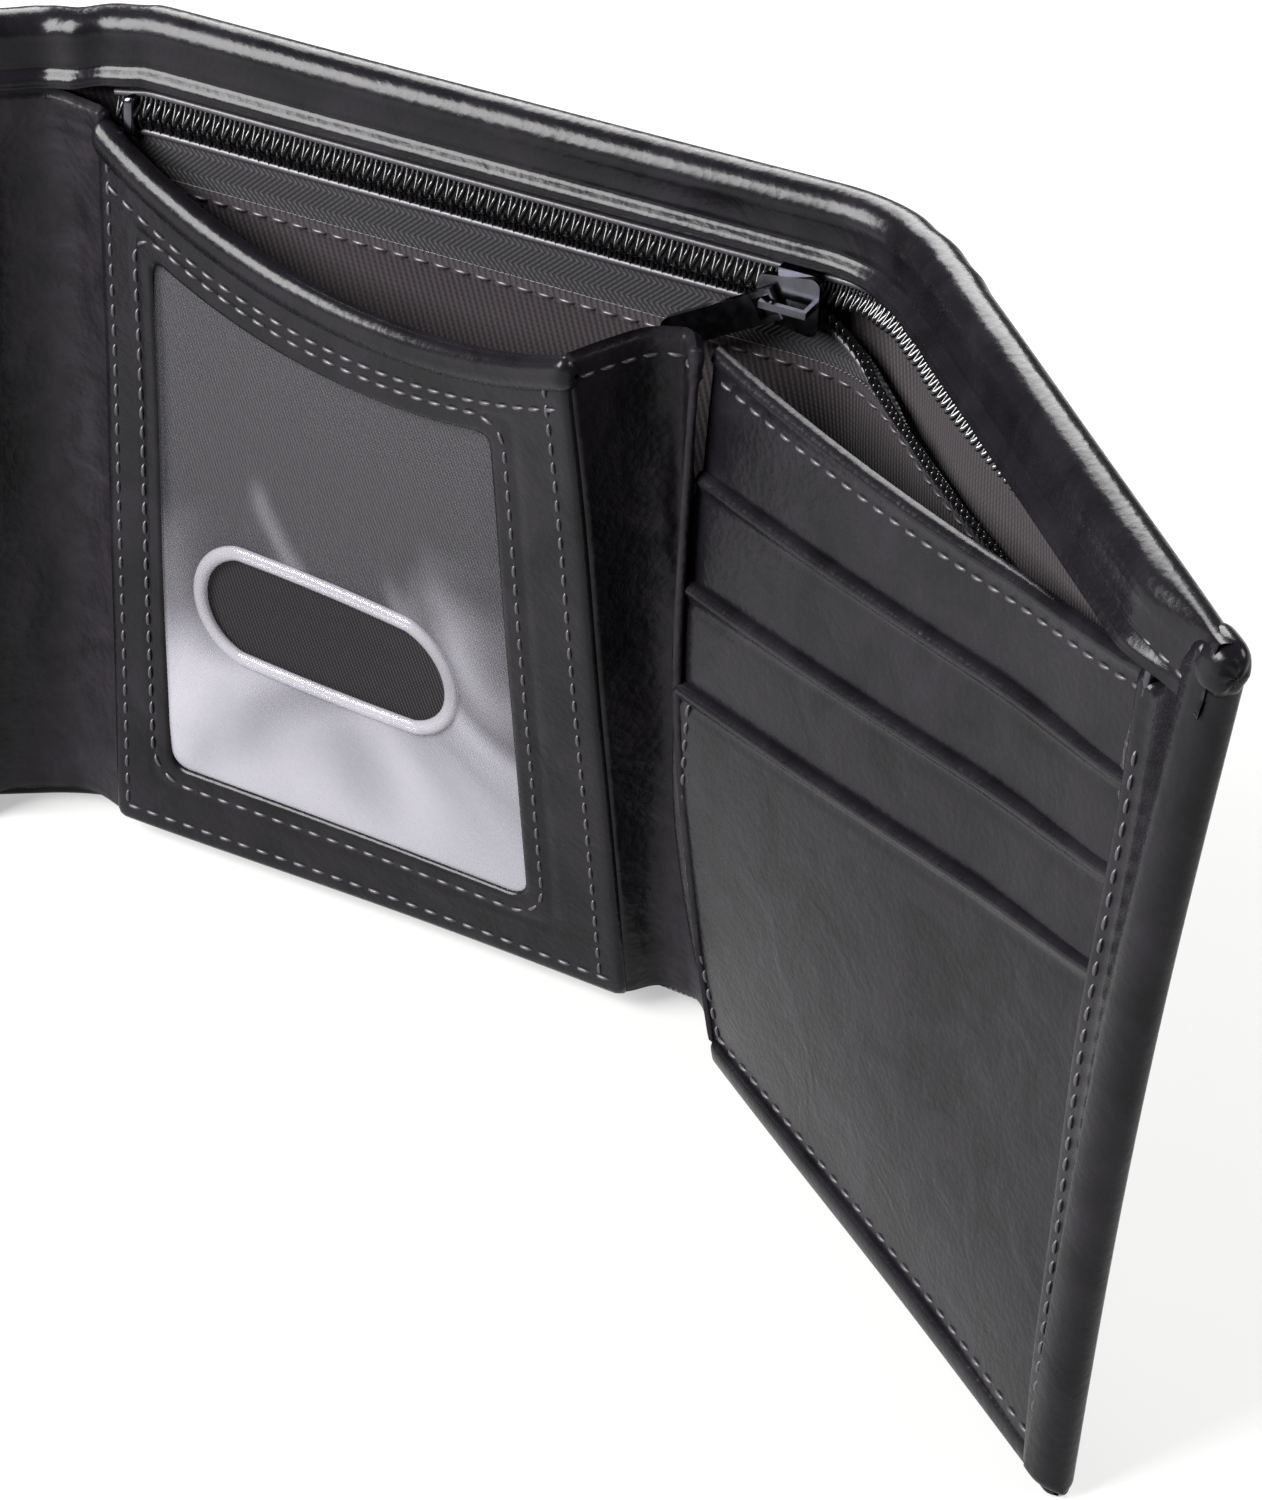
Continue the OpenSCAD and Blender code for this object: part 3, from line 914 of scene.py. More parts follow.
@dataclass
class OuterCover:
    """The cover with its rolled top edge, its facing, the two end turn-overs and their sewing."""

    thick: float = 1.6
    roll_r: float = 2.7
    facing_z: float = 103.9
    turn_z: float = 105.4
    half: float = 48.0
    wing_end: float = 82.0
    corner_power: float = 0.82

    def profile(self) -> np.ndarray:
        """Return the cover's section as out and z: outside up, over the roll, down the facing, and back."""
        roll_z, roll_out = COVER_H - self.roll_r, self.thick - self.roll_r
        up = np.linspace(0.7, self.turn_z, 56)
        outside = np.stack([np.full(56, self.thick), up], -1)
        outside[:, 0] -= 0.22 * ridge(outside[:, 1], self.turn_z - 0.6, 0.8) + 0.2 * ridge(outside[:, 1], 4.0, 0.5)
        angle = np.linspace(-0.35, math.pi + 0.35, 26)
        roll = np.stack([roll_out + self.roll_r * np.cos(angle), roll_z + self.roll_r * np.sin(angle)], -1)
        down = np.linspace(self.turn_z + 1.4, self.facing_z, 12)
        facing = np.stack([-3.7 - 0.3 * (self.turn_z + 1.4 - down), down], -1)
        facing[:, 0] += 0.45 * ridge(down, self.turn_z + 0.2, 0.7)
        facing[:, 0] -= 0.2 * ridge(down, self.facing_z + 0.8, 0.6)
        lip = np.array([[-4.75, -0.25], [-4.3, -0.4], [-3.4, 0.0]]) + [0.0, self.facing_z]
        hidden = np.array([[-2.2, self.facing_z + 1.5], [-0.6, self.facing_z + 2.0], [0.0, self.facing_z]])
        inside = np.stack([np.zeros(24), np.linspace(self.facing_z - 3, 0.7, 24)], -1)
        foot = np.array([[0.2, 0.2], [0.5, 0.0], [1.1, 0.0], [1.4, 0.2]])
        return np.concatenate([outside, roll, facing, lip, hidden, inside, foot])

    def taper(self, t: np.ndarray, out: np.ndarray | float) -> np.ndarray:
        """Return the depth on the inner side, drawn in over the last stretch before each free end."""
        q = np.clip(np.maximum(t - CENTRE_W - self.wing_end + 13.0, 13.0 - self.wing_end - t) / 11.0, 0, 1)
        keep = 1 - 0.85 * q * q * (3 - 2 * q)
        return np.where(np.asarray(out) < -1.5, -1.5 + (out + 1.5) * keep, out)

    def strip(self, name: str, t0: float, t1: float) -> bpy.types.Object:
        """Return one half of the cover, from t0 to t1."""
        profile = self.profile()
        t = np.linspace(t0, t1, int((t1 - t0) / 1.0) + 1)
        out = self.taper(t[:, None], profile[None, :, 0])
        points = COVER.at(t[:, None], profile[None, :, 1], out)
        uv = np.stack(np.broadcast_arrays(t[:, None], profile[None, :, 1]), -1) * MM
        return make_piece(name, points, quads(len(t), len(profile), wrap_cols=True), uv)

    def end_border(
        self, name: str, end: float, face: InnerFace, width: float, lap: float
    ) -> tuple[bpy.types.Object, bpy.types.Object]:
        """Return the leather turned over a free end: it laps on the inner panel and on the outer side.

        Args:
            name: The piece's name.
            end: The cover's end, as a distance along the cover.
            face: The inner face that the border laps on.
            width: That face's width.
            lap: How far the border reaches over the inner face.

        Returns:
            The piece, a closed section that is wider at the top, where the cover stands out, and its
            stitches.
        """
        v = np.clip(spread(100.0, 1.5, 0.1) / 100.0, 0, 1)
        sign = 1.0 if end > 0 else -1.0
        low_z, panel_z, cover_z = 1.2, INNER_H + 2.6, COVER_H - 1.4
        cap = np.minimum(rounding(v * 100, 1.2), rounding((1 - v) * 100, 1.2)) * 0.9 + 0.1

        def lap_line(x_in: float, out: float) -> np.ndarray:
            """Return a line up the inner face."""
            z = low_z + v * (panel_z - low_z)
            return face.at(np.full_like(z, width - x_in), z, out * cap)

        def cover_line(inset: float, out: float) -> np.ndarray:
            """Return a line up the cover near its end."""
            z = low_z + v * (cover_z - low_z)
            return COVER.at(np.full_like(z, end - sign * inset), z, 0.4 + (out - 0.4) * cap)

        lines = [
            lap_line(lap, -0.1),
            lap_line(lap - 0.15, 0.95),
            lap_line(lap - 0.9, 1.3),
            lap_line(-1.4, 1.5),
            cover_line(3.2, -2.35),
            cover_line(1.2, -2.1),
            cover_line(-0.2, -1.2),
            cover_line(-0.9, 0.2),
            cover_line(-0.5, 1.6),
            cover_line(0.8, 1.95),
            cover_line(4.0, 1.9),
            cover_line(7.2, 1.85),
            cover_line(7.5, 1.4),
            cover_line(4.0, 0.9),
            cover_line(2.6, -0.4),
            lap_line(lap * 0.5, -0.2),
        ]
        ring = np.stack(lines, axis=1)
        count = ring.shape[1]
        fine = np.arange(count * 5) / 5.0
        k = fine.astype(int)
        f = (fine - k)[None, :, None]
        a, b, c, d = (ring[:, (k + o) % count] for o in (-1, 0, 1, 2))
        cubic = (2 * a - 5 * b + 4 * c - d) * f**2 + (3 * b - a - 3 * c + d) * f**3
        smooth = 0.5 * (2 * b + (c - a) * f + cubic)
        piece = make_piece(name, smooth, quads(len(v), count * 5, wrap_cols=True))
        keep = (v > 0.05) & (v < 0.93)
        here = smooth[keep, 12]
        front = np.cross(np.gradient(here, axis=0), smooth[keep, 13] - smooth[keep, 11])
        front /= np.linalg.norm(front, axis=1, keepdims=True)
        front *= np.sign((front * (here - smooth[keep, 50])).sum(1, keepdims=True))
        return piece, SEAM.sew(f"seam_{name}", here - 0.08 * front, front)

    def corner(self, name: str, middle: float) -> bpy.types.Object:
        """Return the puckered leather that closes the roll at a free end: a dented round lump."""
        lon = np.linspace(0, math.tau, 48, endpoint=False)
        lat = np.linspace(-math.pi / 2, math.pi / 2, 33)[:, None]
        folds = 0.04 * np.cos(3 * lon + 2 * lat) ** 2 * np.abs(np.sin(lat))
        pucker = 1 - folds - 0.015 * ripple(lon * 3, lat * 4, 61, 3.0)
        side = signed_power(np.cos(lat), self.corner_power)
        t = middle + 3.4 * signed_power(np.sin(lat), self.corner_power) * pucker
        out = -0.05 + 2.35 * side * np.cos(lon) * pucker
        z = COVER_H - self.roll_r - 0.5 + 3.25 * side * np.sin(lon) * pucker
        return make_piece(name, COVER.at(t, z, out), quads(33, 48, wrap_cols=True))

    def seam(self, name: str, t: np.ndarray, z: np.ndarray, out: float, outward: bool) -> bpy.types.Object:
        """Sew a row on the cover; outward is true on its outer side."""
        depth = self.taper(t, out)
        here = COVER.at(t, z, depth)
        step = COVER.at(t, z, depth + (1.0 if outward else -1.0)) - here
        return SEAM.sew(name, here, step)

    def build(self) -> None:
        """Make and dress the cover."""
        right_end = CENTRE_W + self.wing_end
        left_half = self.strip("cover_leather_left", -self.wing_end, self.half)
        right_half = self.strip("cover_leather_right", self.half, right_end)
        dress(left_half, FINISH.leather, nodes=("cover_left", "cover_centre"))
        facings = ("zip_facing_centre", "zip_facing_right")
        dress(right_half, FINISH.leather, nodes=("cover_right", *facings))
        bend_left(left_half)
        bend_right(right_half)
        right = self.end_border("end_border_right", right_end, RIGHT_FACE, 74.0, 2.0)
        left = self.end_border("end_border_left", -self.wing_end, LEFT_FACE, 64.0, 2.0)
        for (border, sewing), body in ((right, Body.RIGHT), (left, Body.LEFT)):
            dress(border, FINISH.leather, body)
            dress(sewing, FINISH.thread, body)
        dress(self.corner("corner_pucker_right", right_end - 1.6), FINISH.leather, Body.RIGHT)
        dress(self.corner("corner_pucker_left", 1.6 - self.wing_end), FINISH.leather, Body.LEFT)
        n = 400
        for side, t0, t1, bend in (
            ("left", -self.wing_end + 3, self.half, bend_left),
            ("right", self.half, right_end - 3, bend_right),
        ):
            t = np.linspace(t0, t1, n)
            for place_name, z, out, outward in (
                ("top_inside", self.turn_z + 0.2, -3.2, False),
                ("top_outside", self.turn_z - 0.6, self.thick - 0.15, True),
                ("bottom_outside", 4.0, self.thick - 0.12, True),
            ):
                row = self.seam(f"seam_cover_{place_name}_{side}", t, np.full(n, z), out, outward)
                dress(row, FINISH.thread)
                bend(row)


# ---------------------------------------------------------------------------------------------
# The zip and the linings on the cover's side
# ---------------------------------------------------------------------------------------------


@dataclass
class ZipPocket:
    """The zip across the centre section and the right wing, and the cloth below it."""

    start: float = 4.6
    end: float = 167.0
    tooth_pitch: float = 1.25
    tooth_reach: float = 2.1
    wire_r: float = 0.34
    open_drop: float = 6.5
    tape_out: float = -2.7
    lining_out: float = -3.35

    def squeeze(self, t: np.ndarray) -> np.ndarray:
        """Return the share of their depth that the layers keep as they run into the end seam."""
        q = np.clip((t - 116.0) / 45.0, 0, 1)
        return 1 - 0.8 * q * q * (3 - 2 * q)

    def parting(self, t: np.ndarray) -> np.ndarray:
        """Return how far the chain is parted: nothing up to the slider, then rising smoothly."""
        q = np.clip((t - SLIDER_T + 1.0) / 22.0, 0, 1)
        close = np.clip((self.end - t) / 26.0, 0, 1)
        return q * q * (3 - 2 * q) * (close * close * (3 - 2 * close))

    def row_z(self, t: np.ndarray, upper: bool) -> np.ndarray:
        """Return the height of one row of teeth: the lower row sags where the zip is open."""
        gap = self.parting(t)
        return ZIP_Z + (0.5 + 1.2 * gap if upper else -0.5 - self.open_drop * gap)

    def teeth(self, name: str, upper: bool) -> bpy.types.Object:
        """Return a coil's teeth: short loops of wire that stand off the tape, side by side."""
        count = int((self.end - self.start) / self.tooth_pitch)
        offset = 0.0 if upper else 0.5
        t = self.start + (np.arange(count) + offset) * self.tooth_pitch
        sign = 1.0 if upper else -1.0
        rings, sides = 11, 6
        s = np.linspace(0, 1, rings)
        angle = np.arange(sides) * math.tau / sides
        reach = np.sin(np.pi * s) ** 0.6 * self.tooth_reach
        lift = 0.35 + 1.15 * np.sin(np.pi * np.clip(s * 1.1, 0, 1)) ** 0.8
        slip = (s - 0.5) * self.tooth_pitch * 0.5
        root = self.row_z(t, upper) + sign * 1.7
        z = root[:, None] - sign * reach[None, :]
        along = t[:, None] + slip[None, :]
        depth = (self.tape_out - lift)[None, :] * self.squeeze(t)[:, None]
        z_ring = z[:, :, None] + np.cos(angle) * self.wire_r * 1.15
        out_ring = depth[:, :, None] - np.sin(angle) * self.wire_r
        along_ring = along[:, :, None] + np.cos(angle) * self.wire_r * 0.5 * np.cos(np.pi * s)[None, :, None]
        points = COVER.at(along_ring, z_ring, out_ring)
        faces = quads(rings, sides, wrap_cols=True)
        faces = (faces[None] + (np.arange(count) * rings * sides)[:, None, None]).reshape(-1, 4)
        return make_piece(name, points, faces)

    def cord(self, name: str, upper: bool) -> bpy.types.Object:
        """Return the thread core that the coil is sewn down with: a thin tube behind the teeth."""
        t = np.linspace(self.start - 1, self.end, 260)
        angle = np.arange(8) * math.tau / 8
        z = self.row_z(t, upper)[:, None] + (1.9 if upper else -1.9) + 0.42 * np.cos(angle)
        out = (self.tape_out - 0.42) * self.squeeze(t)[:, None] - 0.36 * np.sin(angle)
        points = COVER.at(np.broadcast_to(t[:, None], z.shape), z, out)
        return make_piece(name, points, quads(len(t), 8, wrap_cols=True))

    def tape(self, name: str, upper: bool, t0: float, t1: float) -> bpy.types.Object:
        """Return one tape of the zip, a thin woven strip whose beaded edge carries the teeth."""
        t = np.linspace(t0, t1, int(t1 - t0) + 1)
        q = np.linspace(0, 1, 22)
        near = self.row_z(t, upper) + (0.9 if upper else -0.9)
        far = np.full_like(t, 106.0 if upper else ZIP_Z - 12.0)
        z = near[:, None] * (1 - q) + far[:, None] * q
        slack = 0.35 * ripple(t[:, None], z, 21 if upper else 22, 26.0, 5) * self.parting(t)[:, None]
        out = (self.tape_out + slack) * self.squeeze(t)[:, None]
        front = COVER.at(np.broadcast_to(t[:, None], z.shape), z, out - 0.3)
        back = COVER.at(np.broadcast_to(t[:, None], z.shape), z, out + 0.3)
        return self.shell(name, front, back, np.stack([np.broadcast_to(t[:, None], z.shape), z], -1) * MM)

    def shell(self, name: str, front: np.ndarray, back: np.ndarray, uv: np.ndarray) -> bpy.types.Object:
        """Return a closed thin strip between a front and a back grid."""
        rows, cols = front.shape[:2]
        points = np.concatenate([front, back[:, ::-1]], axis=1)
        faces = quads(rows, 2 * cols, wrap_cols=True)
        j = np.arange(cols - 1)
        cap = np.stack([j, j + 1, 2 * cols - 2 - j, 2 * cols - 1 - j], -1)
        faces = np.concatenate([faces, cap[:, ::-1], cap + (rows - 1) * 2 * cols])
        return make_piece(name, points, faces, np.concatenate([uv, uv[:, ::-1]], axis=1))

    def cloth(
        self, name: str, t0: float, t1: float, z0: float, z1: float, out: float, seed: int
    ) -> bpy.types.Object:
        """Return a lining sheet that hangs against the cover, a little slack."""
        t = np.linspace(t0, t1, int((t1 - t0) / 1.5) + 1)[:, None]
        z = np.linspace(z0, z1, 50)[None, :]
        slack = 0.3 * ripple(t, z, seed, 34.0, 7) * np.clip((z1 - z) / 8, 0, 1)
        depth = (out + slack) * self.squeeze(t)
        t_all, z_all = np.broadcast_arrays(t, z)
        front = COVER.at(t_all, z_all, depth - 0.2)
        back = COVER.at(t_all, z_all, depth + 0.2)
        piece = self.shell(name, front, back, np.stack([t_all, z_all], -1) * MM)
        return piece

    def stop(self, name: str, t0: float, body: Body, node: str) -> None:
        """Make one end stop: a rounded metal clamp over both rows of teeth."""
        lon = np.linspace(0, math.tau, 24, endpoint=False)
        lat = np.linspace(-math.pi / 2, math.pi / 2, 15)[:, None]
        power = 0.45
        side = signed_power(np.cos(lat), power)
        t = t0 + 0.75 * side * signed_power(np.cos(lon), power)
        z = ZIP_Z + 2.5 * signed_power(np.sin(lat), power) * np.ones_like(lon)
        out = (self.tape_out - 1.1) * self.squeeze(t) + 1.05 * side * signed_power(np.sin(lon), power)
        piece = make_piece(name, COVER.at(t, z, out), quads(15, 24, wrap_cols=True))
        dress(piece, FINISH.metal, body, (node,))

    def build(self) -> None:
        """Make and dress the zip and the linings."""
        for upper, word in ((True, "upper"), (False, "lower")):
            tape = self.tape(f"zip_tape_{word}", upper, 5.0, CENTRE_W + 74.0)
            dress(tape, FINISH.tape, nodes=(f"zip_tape_{word}_centre", f"zip_tape_{word}_right"))
            teeth = self.teeth(f"zip_teeth_{word}", upper)
            dress(teeth, FINISH.coil, nodes=(f"zip_coil_{word}_centre", f"zip_coil_{word}_right"))
            core = self.cord(f"zip_core_{word}", upper)
            dress(core, FINISH.thread)
            for piece in (tape, teeth, core):
                bend_right(piece)
        cloth_end = CENTRE_W + 72.0
        lining = self.cloth("bill_lining_cloth", 3.5, cloth_end, 2.4, ZIP_Z - 7.6, self.lining_out, 31)
        dress(lining, FINISH.lining, nodes=("bill_lining_centre", "bill_lining_right"))
        bend_right(lining)
        pocket = self.cloth("zip_pocket_cloth", 4.5, cloth_end, 3.0, 104.0, -0.45, 32)
        pocket_nodes = ("zip_pocket_cloth_centre", "zip_pocket_cloth_right")
        dress(pocket, FINISH.lining, nodes=pocket_nodes)
        bend_right(pocket)
        left = self.cloth("bill_lining_cloth_left", -78.5, 4.4, 2.4, 104.0, -0.9, 33)
        dress(left, FINISH.lining, nodes=("bill_lining_left",))
        bend_left(left)
        self.stop("zip_stop_left_clamp", 6.3, Body.CENTRE, "zip_stop_left")
        self.stop("zip_stop_right_clamp", self.end, Body.RIGHT, "zip_stop_right")
        n = 500
        t = np.linspace(6, CENTRE_W + 71, n)
        for word, z, out in (("tape_lower", ZIP_Z - 8.6, self.lining_out - 0.25), ("facing", 104.4, -3.95)):
            depth = out * self.squeeze(t)
            here = COVER.at(t, np.full(n, z), depth)
            step = COVER.at(t, np.full(n, z), depth - 1.0) - here
            row = SEAM.sew(f"seam_zip_{word}", here, step)
            dress(row, FINISH.thread)
            bend_right(row)


# ---------------------------------------------------------------------------------------------
# The centre section's inner side
# ---------------------------------------------------------------------------------------------


@dataclass
class CentrePanel:
    """The scooped panel with its window, the clear sheet with a thumb slot, and their sewing."""

    width: float = 72.0
    scoop: float = 8.5
    z0: float = 2.5
    edge_drop: float = 3.0
    height: float = INNER_H + 3.4
    tilt: float = 2.2
    window_x0: float = 8.4
    window_x1: float = 59.0
    window_z0: float = 13.4
    window_top: float = 88.4
    thick: float = 1.2
    thumb_r: float = 7.6
    thumb_x: tuple[float, float] = (21.4, 42.6)
    thumb_z: float = 41.0

    def top(self, x: np.ndarray, drop: float) -> np.ndarray:
        """Return a height below the panel's top edge, which is scooped and a little tilted."""
        inside = np.clip(x, 0, self.width)
        return self.height - drop - scoop_at(inside, self.scoop, self.width) - self.tilt * inside / self.width

    def window(self, grow: float) -> np.ndarray:
        """Return the window's outline, grown by a margin."""
        return rounded_outline(
            self.window_x0 - grow,
            self.window_x1 + grow,
            self.window_z0 - grow,
            self.window_top + grow,
            2.4 + max(grow, 0),
            self.scoop,
            self.tilt,
            self.width,
        )

    def plate(self) -> bpy.types.Object:
        """Return the leather plate round the window."""
        outer = rounded_outline(
            0.0, self.width, self.z0, self.height - self.edge_drop, 1.2, self.scoop, self.tilt, self.width
        )
        first, last = [0.0, 0.0, 0.012, 0.03, 0.06, 0.1], [0.93, 0.97, 0.992, 1.0, 1.0]
        q = np.concatenate([first, np.linspace(0.16, 0.86, 18), last])
        rise = rounding(np.minimum(q, 1 - q), 0.06)
        height = self.thick * rise - 0.14 * ridge(q, 0.3, 0.05)
        height[0] = height[-1] = -0.02
        hidden = np.array([[0.9, -0.05], [0.5, -0.05], [0.1, -0.05]])
        profile = np.concatenate([np.stack([q, height], -1), hidden])
        return ring_piece("centre_panel_leather", self.window(0.0), outer, CENTRE_FACE, profile)

    def piping(self) -> bpy.types.Object:
        """Return the thick turned top edge: an oval section along the scoop, rounded off at both ends."""
        ends = np.array([0.0, 0.5, 0.8, 0.9])
        x = np.concatenate([-ends[::-1], np.linspace(0.6, self.width - 0.6, 90), self.width + ends])
        cap = np.minimum(rounding(x + 0.92, 1.6), rounding(self.width + 0.92 - x, 1.6))
        angle = np.arange(28) * math.tau / 28
        mid = self.top(x, 2.3)
        z = mid[:, None] + 2.35 * np.sin(angle) * cap[:, None]
        out = 0.2 + 1.75 * np.cos(angle) * cap[:, None]
        points = CENTRE_FACE.at(np.broadcast_to(x[:, None], z.shape), z, out)
        return make_piece("centre_panel_rolled_edge", points, quads(len(x), 28, wrap_cols=True))

    def thumb(self, grow: float, n: int) -> np.ndarray:
        """Return the thumb slot's outline, a stadium, starting at its lower left."""
        r, (x0, x1), zc = self.thumb_r + grow, self.thumb_x, self.thumb_z
        angle = np.linspace(-0.75 * math.pi, 1.25 * math.pi, n, endpoint=False)
        flat = np.stack([np.cos(angle), np.sin(angle)], -1)
        squeeze = np.where(np.abs(flat[:, :1]) > 1e-9, np.sign(flat[:, :1]), 0.0)
        blend = np.clip(np.abs(flat[:, :1]) * 4, 0, 1) * squeeze
        middle = (x0 + x1) / 2 + blend * (x1 - x0) / 2
        return np.concatenate([middle + r * flat[:, :1], zc + r * flat[:, 1:]], -1)

    def clear_sheet(self) -> bpy.types.Object:
        """Return the clear sheet: it bulges a little between its seam and the slot's thick rim."""
        outer = self.window(2.2)
        inner = self.thumb(0.0, len(outer))
        q = np.concatenate([np.linspace(0, 0.97, 30), [1.0]])
        bulge = 0.35 + 0.75 * np.sin(np.pi * np.clip(q, 0, 1)) ** 0.8
        front = np.stack([q, bulge], -1)
        back = np.stack([q[::-1], bulge[::-1] - 0.25], -1)
        profile = np.concatenate([front, back])
        return ring_piece("id_window_clear", inner, outer, CENTRE_FACE, profile)

    def rim(self) -> bpy.types.Object:
        """Return the slot's welded rim, a thin tube of clear sheet."""
        n = 220
        line = self.thumb(0.2, n)
        centre = CENTRE_FACE.at(line[:, 0], line[:, 1], 0.55)
        ahead = np.roll(centre, -1, axis=0) - np.roll(centre, 1, axis=0)
        ahead /= np.linalg.norm(ahead, axis=1, keepdims=True)
        front = CENTRE_FACE.at(line[:, 0], line[:, 1], 1.55) - centre
        side = np.cross(ahead, front)
        angle = np.arange(12) * math.tau / 12
        wide, deep = 0.95 * np.cos(angle)[:, None], 0.6 * np.sin(angle)[:, None]
        points = centre[:, None] + wide * side[:, None] + deep * front[:, None]
        return make_piece("id_window_rim", points, quads(n, 12, True, True))

    def row(self, name: str, line: np.ndarray, out: float) -> None:
        """Sew a row along points given as x and z on the panel."""
        here = CENTRE_FACE.at(line[:, 0], line[:, 1], out)
        step = CENTRE_FACE.at(line[:, 0], line[:, 1], out + 1.0) - here
        dress(SEAM.sew(name, here, step), FINISH.thread, Body.CENTRE)

    def build(self) -> None:
        """Make and dress the centre panel."""
        dress(self.plate(), FINISH.leather, Body.CENTRE, ("centre_panel",))
        dress(self.piping(), FINISH.leather, Body.CENTRE, ("centre_top_edge",))
        dress(self.clear_sheet(), FINISH.vinyl, Body.CENTRE, ("id_window",))
        # The weld's alpha rises a little downwards too, the same painted reflection as on the clear sheet.
        rim = Vinyl("clear_pvc_weld", colour="#8f8d93", low_alpha=0.4, high_alpha=0.5, roughness=0.08).build()
        dress(self.rim(), rim, Body.CENTRE)
        # The backing wears the darker cloth, painted shade behind the clear sheet.
        backing = Panel(
            "id_pocket_backing", CENTRE_FACE, 4.0, 64.0, 9.0, (85.0, 84.0), -0.5, 0.4, dip=6.0, edge_r=0.2
        ).build()
        dress(backing, FINISH.backing, Body.CENTRE, ("id_backing",))
        low, high, tops = 0.6, 71.4, (92.0, 92.0)
        lining = Panel(
            "centre_panel_lining_cloth", CENTRE_FACE, low, high, 3.0, tops, -1.2, 0.5, dip=8.4, edge_r=0.2
        ).build()
        dress(lining, FINISH.lining, Body.CENTRE, ("centre_panel_lining",))
        window = self.window(2.6)
        self.row("seam_window", np.concatenate([window, window[:1]]), self.thick - 0.14)
        x = np.linspace(1.5, self.width - 1.5, 120)
        self.row("seam_centre_top", np.stack([x, self.top(x, 6.6)], -1), self.thick - 0.05)
        up = np.linspace(5.0, self.height - 4.0, 120)
        self.row("seam_centre_left", np.stack([np.full(120, 1.9), up], -1), self.thick - 0.1)
        self.row("seam_centre_right", np.stack([np.full(120, self.width - 3.2), up], -1), self.thick - 0.1)
        self.row("seam_centre_bottom", np.stack([x, np.full(120, 5.0)], -1), self.thick - 0.1)


# ---------------------------------------------------------------------------------------------
# The wings' inner sides
# ---------------------------------------------------------------------------------------------


@dataclass
class WingPockets:
    """A wing's inner side: a leather back, two stepped card slots and a deep front pocket."""

    side: str
    face: InnerFace
    body: Body
    width: float
    tops: tuple[tuple[float, float], ...]
    dip: float
    bow: float

    def build(self) -> None:
        """Make and dress the wing's inner side."""
        names = [f"{self.side}_{part}" for part in ("panel_back", "slot_1", "slot_2", "front_pocket")]
        bottoms = (2.5, 58.0, 44.0, 2.5)
        for k, (node, bottom, top) in enumerate(zip(names, bottoms, self.tops)):
            panel = Panel(
                f"{node}_leather",
                self.face,
                0.0,
                self.width,
                bottom,
                top,
                0.75 * (k - 3) - 0.85,
                0.85,
                dip=self.dip if k == 0 else self.dip * 0.3,
                bead=0.5 if k == 0 else 0.55,
                crease=0.24 if k else 0.0,
                edge_r=0.6,
                bow=self.bow * (0.35 + 0.2 * k),
                pinch=0.7,
            )
            dress(panel.build(), FINISH.leather, self.body, (node,))
            if k == 0:
                self.row(f"seam_{self.side}_top", *panel.line("top", 3.0))
            if k == 3:
                for kind in ("first", "bottom"):
                    self.row(f"seam_{self.side}_{kind}", *panel.line(kind, 2.6))
            if k in (1, 2):
                cloth = Panel(
                    f"{self.side}_pocket_cloth_{k}_sheet",
                    self.face,
                    3.0,
                    self.width - 3.0,
                    8.0,
                    (bottom - 0.5, bottom - 0.5),
                    0.75 * (k - 3) - 0.8,
                    0.35,
                    edge_r=0.2,
                    pinch=0.7,
                )
                node = f"{self.side}_pocket_cloth_{k}"
                dress(cloth.build(), FINISH.lining, self.body, (node,))
        lining = Panel(
            f"{self.side}_panel_lining_cloth",
            self.face,
            0.5,
            self.width - 0.5,
            3.0,
            (92.5, 92.5),
            -3.6,
            0.45,
            edge_r=0.2,
            pinch=0.7,
        )
        dress(lining.build(), FINISH.lining, self.body, (f"{self.side}_panel_lining",))
        self.binding()

    def binding(self) -> None:
        """Make the turned leather along the wing's foot."""
        x = spread(self.width + 2.4, 2.0) + 0.4
        angle = np.arange(24) * math.tau / 24
        cap = rounding(np.minimum(x - 0.3, self.width + 2.9 - x), 1.0)[:, None]
        z = 2.0 + 1.7 * np.sign(np.sin(angle)) * np.abs(np.sin(angle)) ** 0.6 * np.ones_like(cap)
        out = -0.6 + 1.5 * np.sign(np.cos(angle)) * np.abs(np.cos(angle)) ** 0.6 * cap
        points = self.face.at(np.broadcast_to(x[:, None], z.shape), z, out)
        strip = make_piece(f"foot_binding_{self.side}", points, quads(len(x), 24, wrap_cols=True))
        dress(strip, FINISH.leather, self.body)

    def row(self, name: str, here: np.ndarray, front: np.ndarray) -> None:
        """Sew one row on the wing."""
        dress(SEAM.sew(name, here, front), FINISH.thread, self.body)


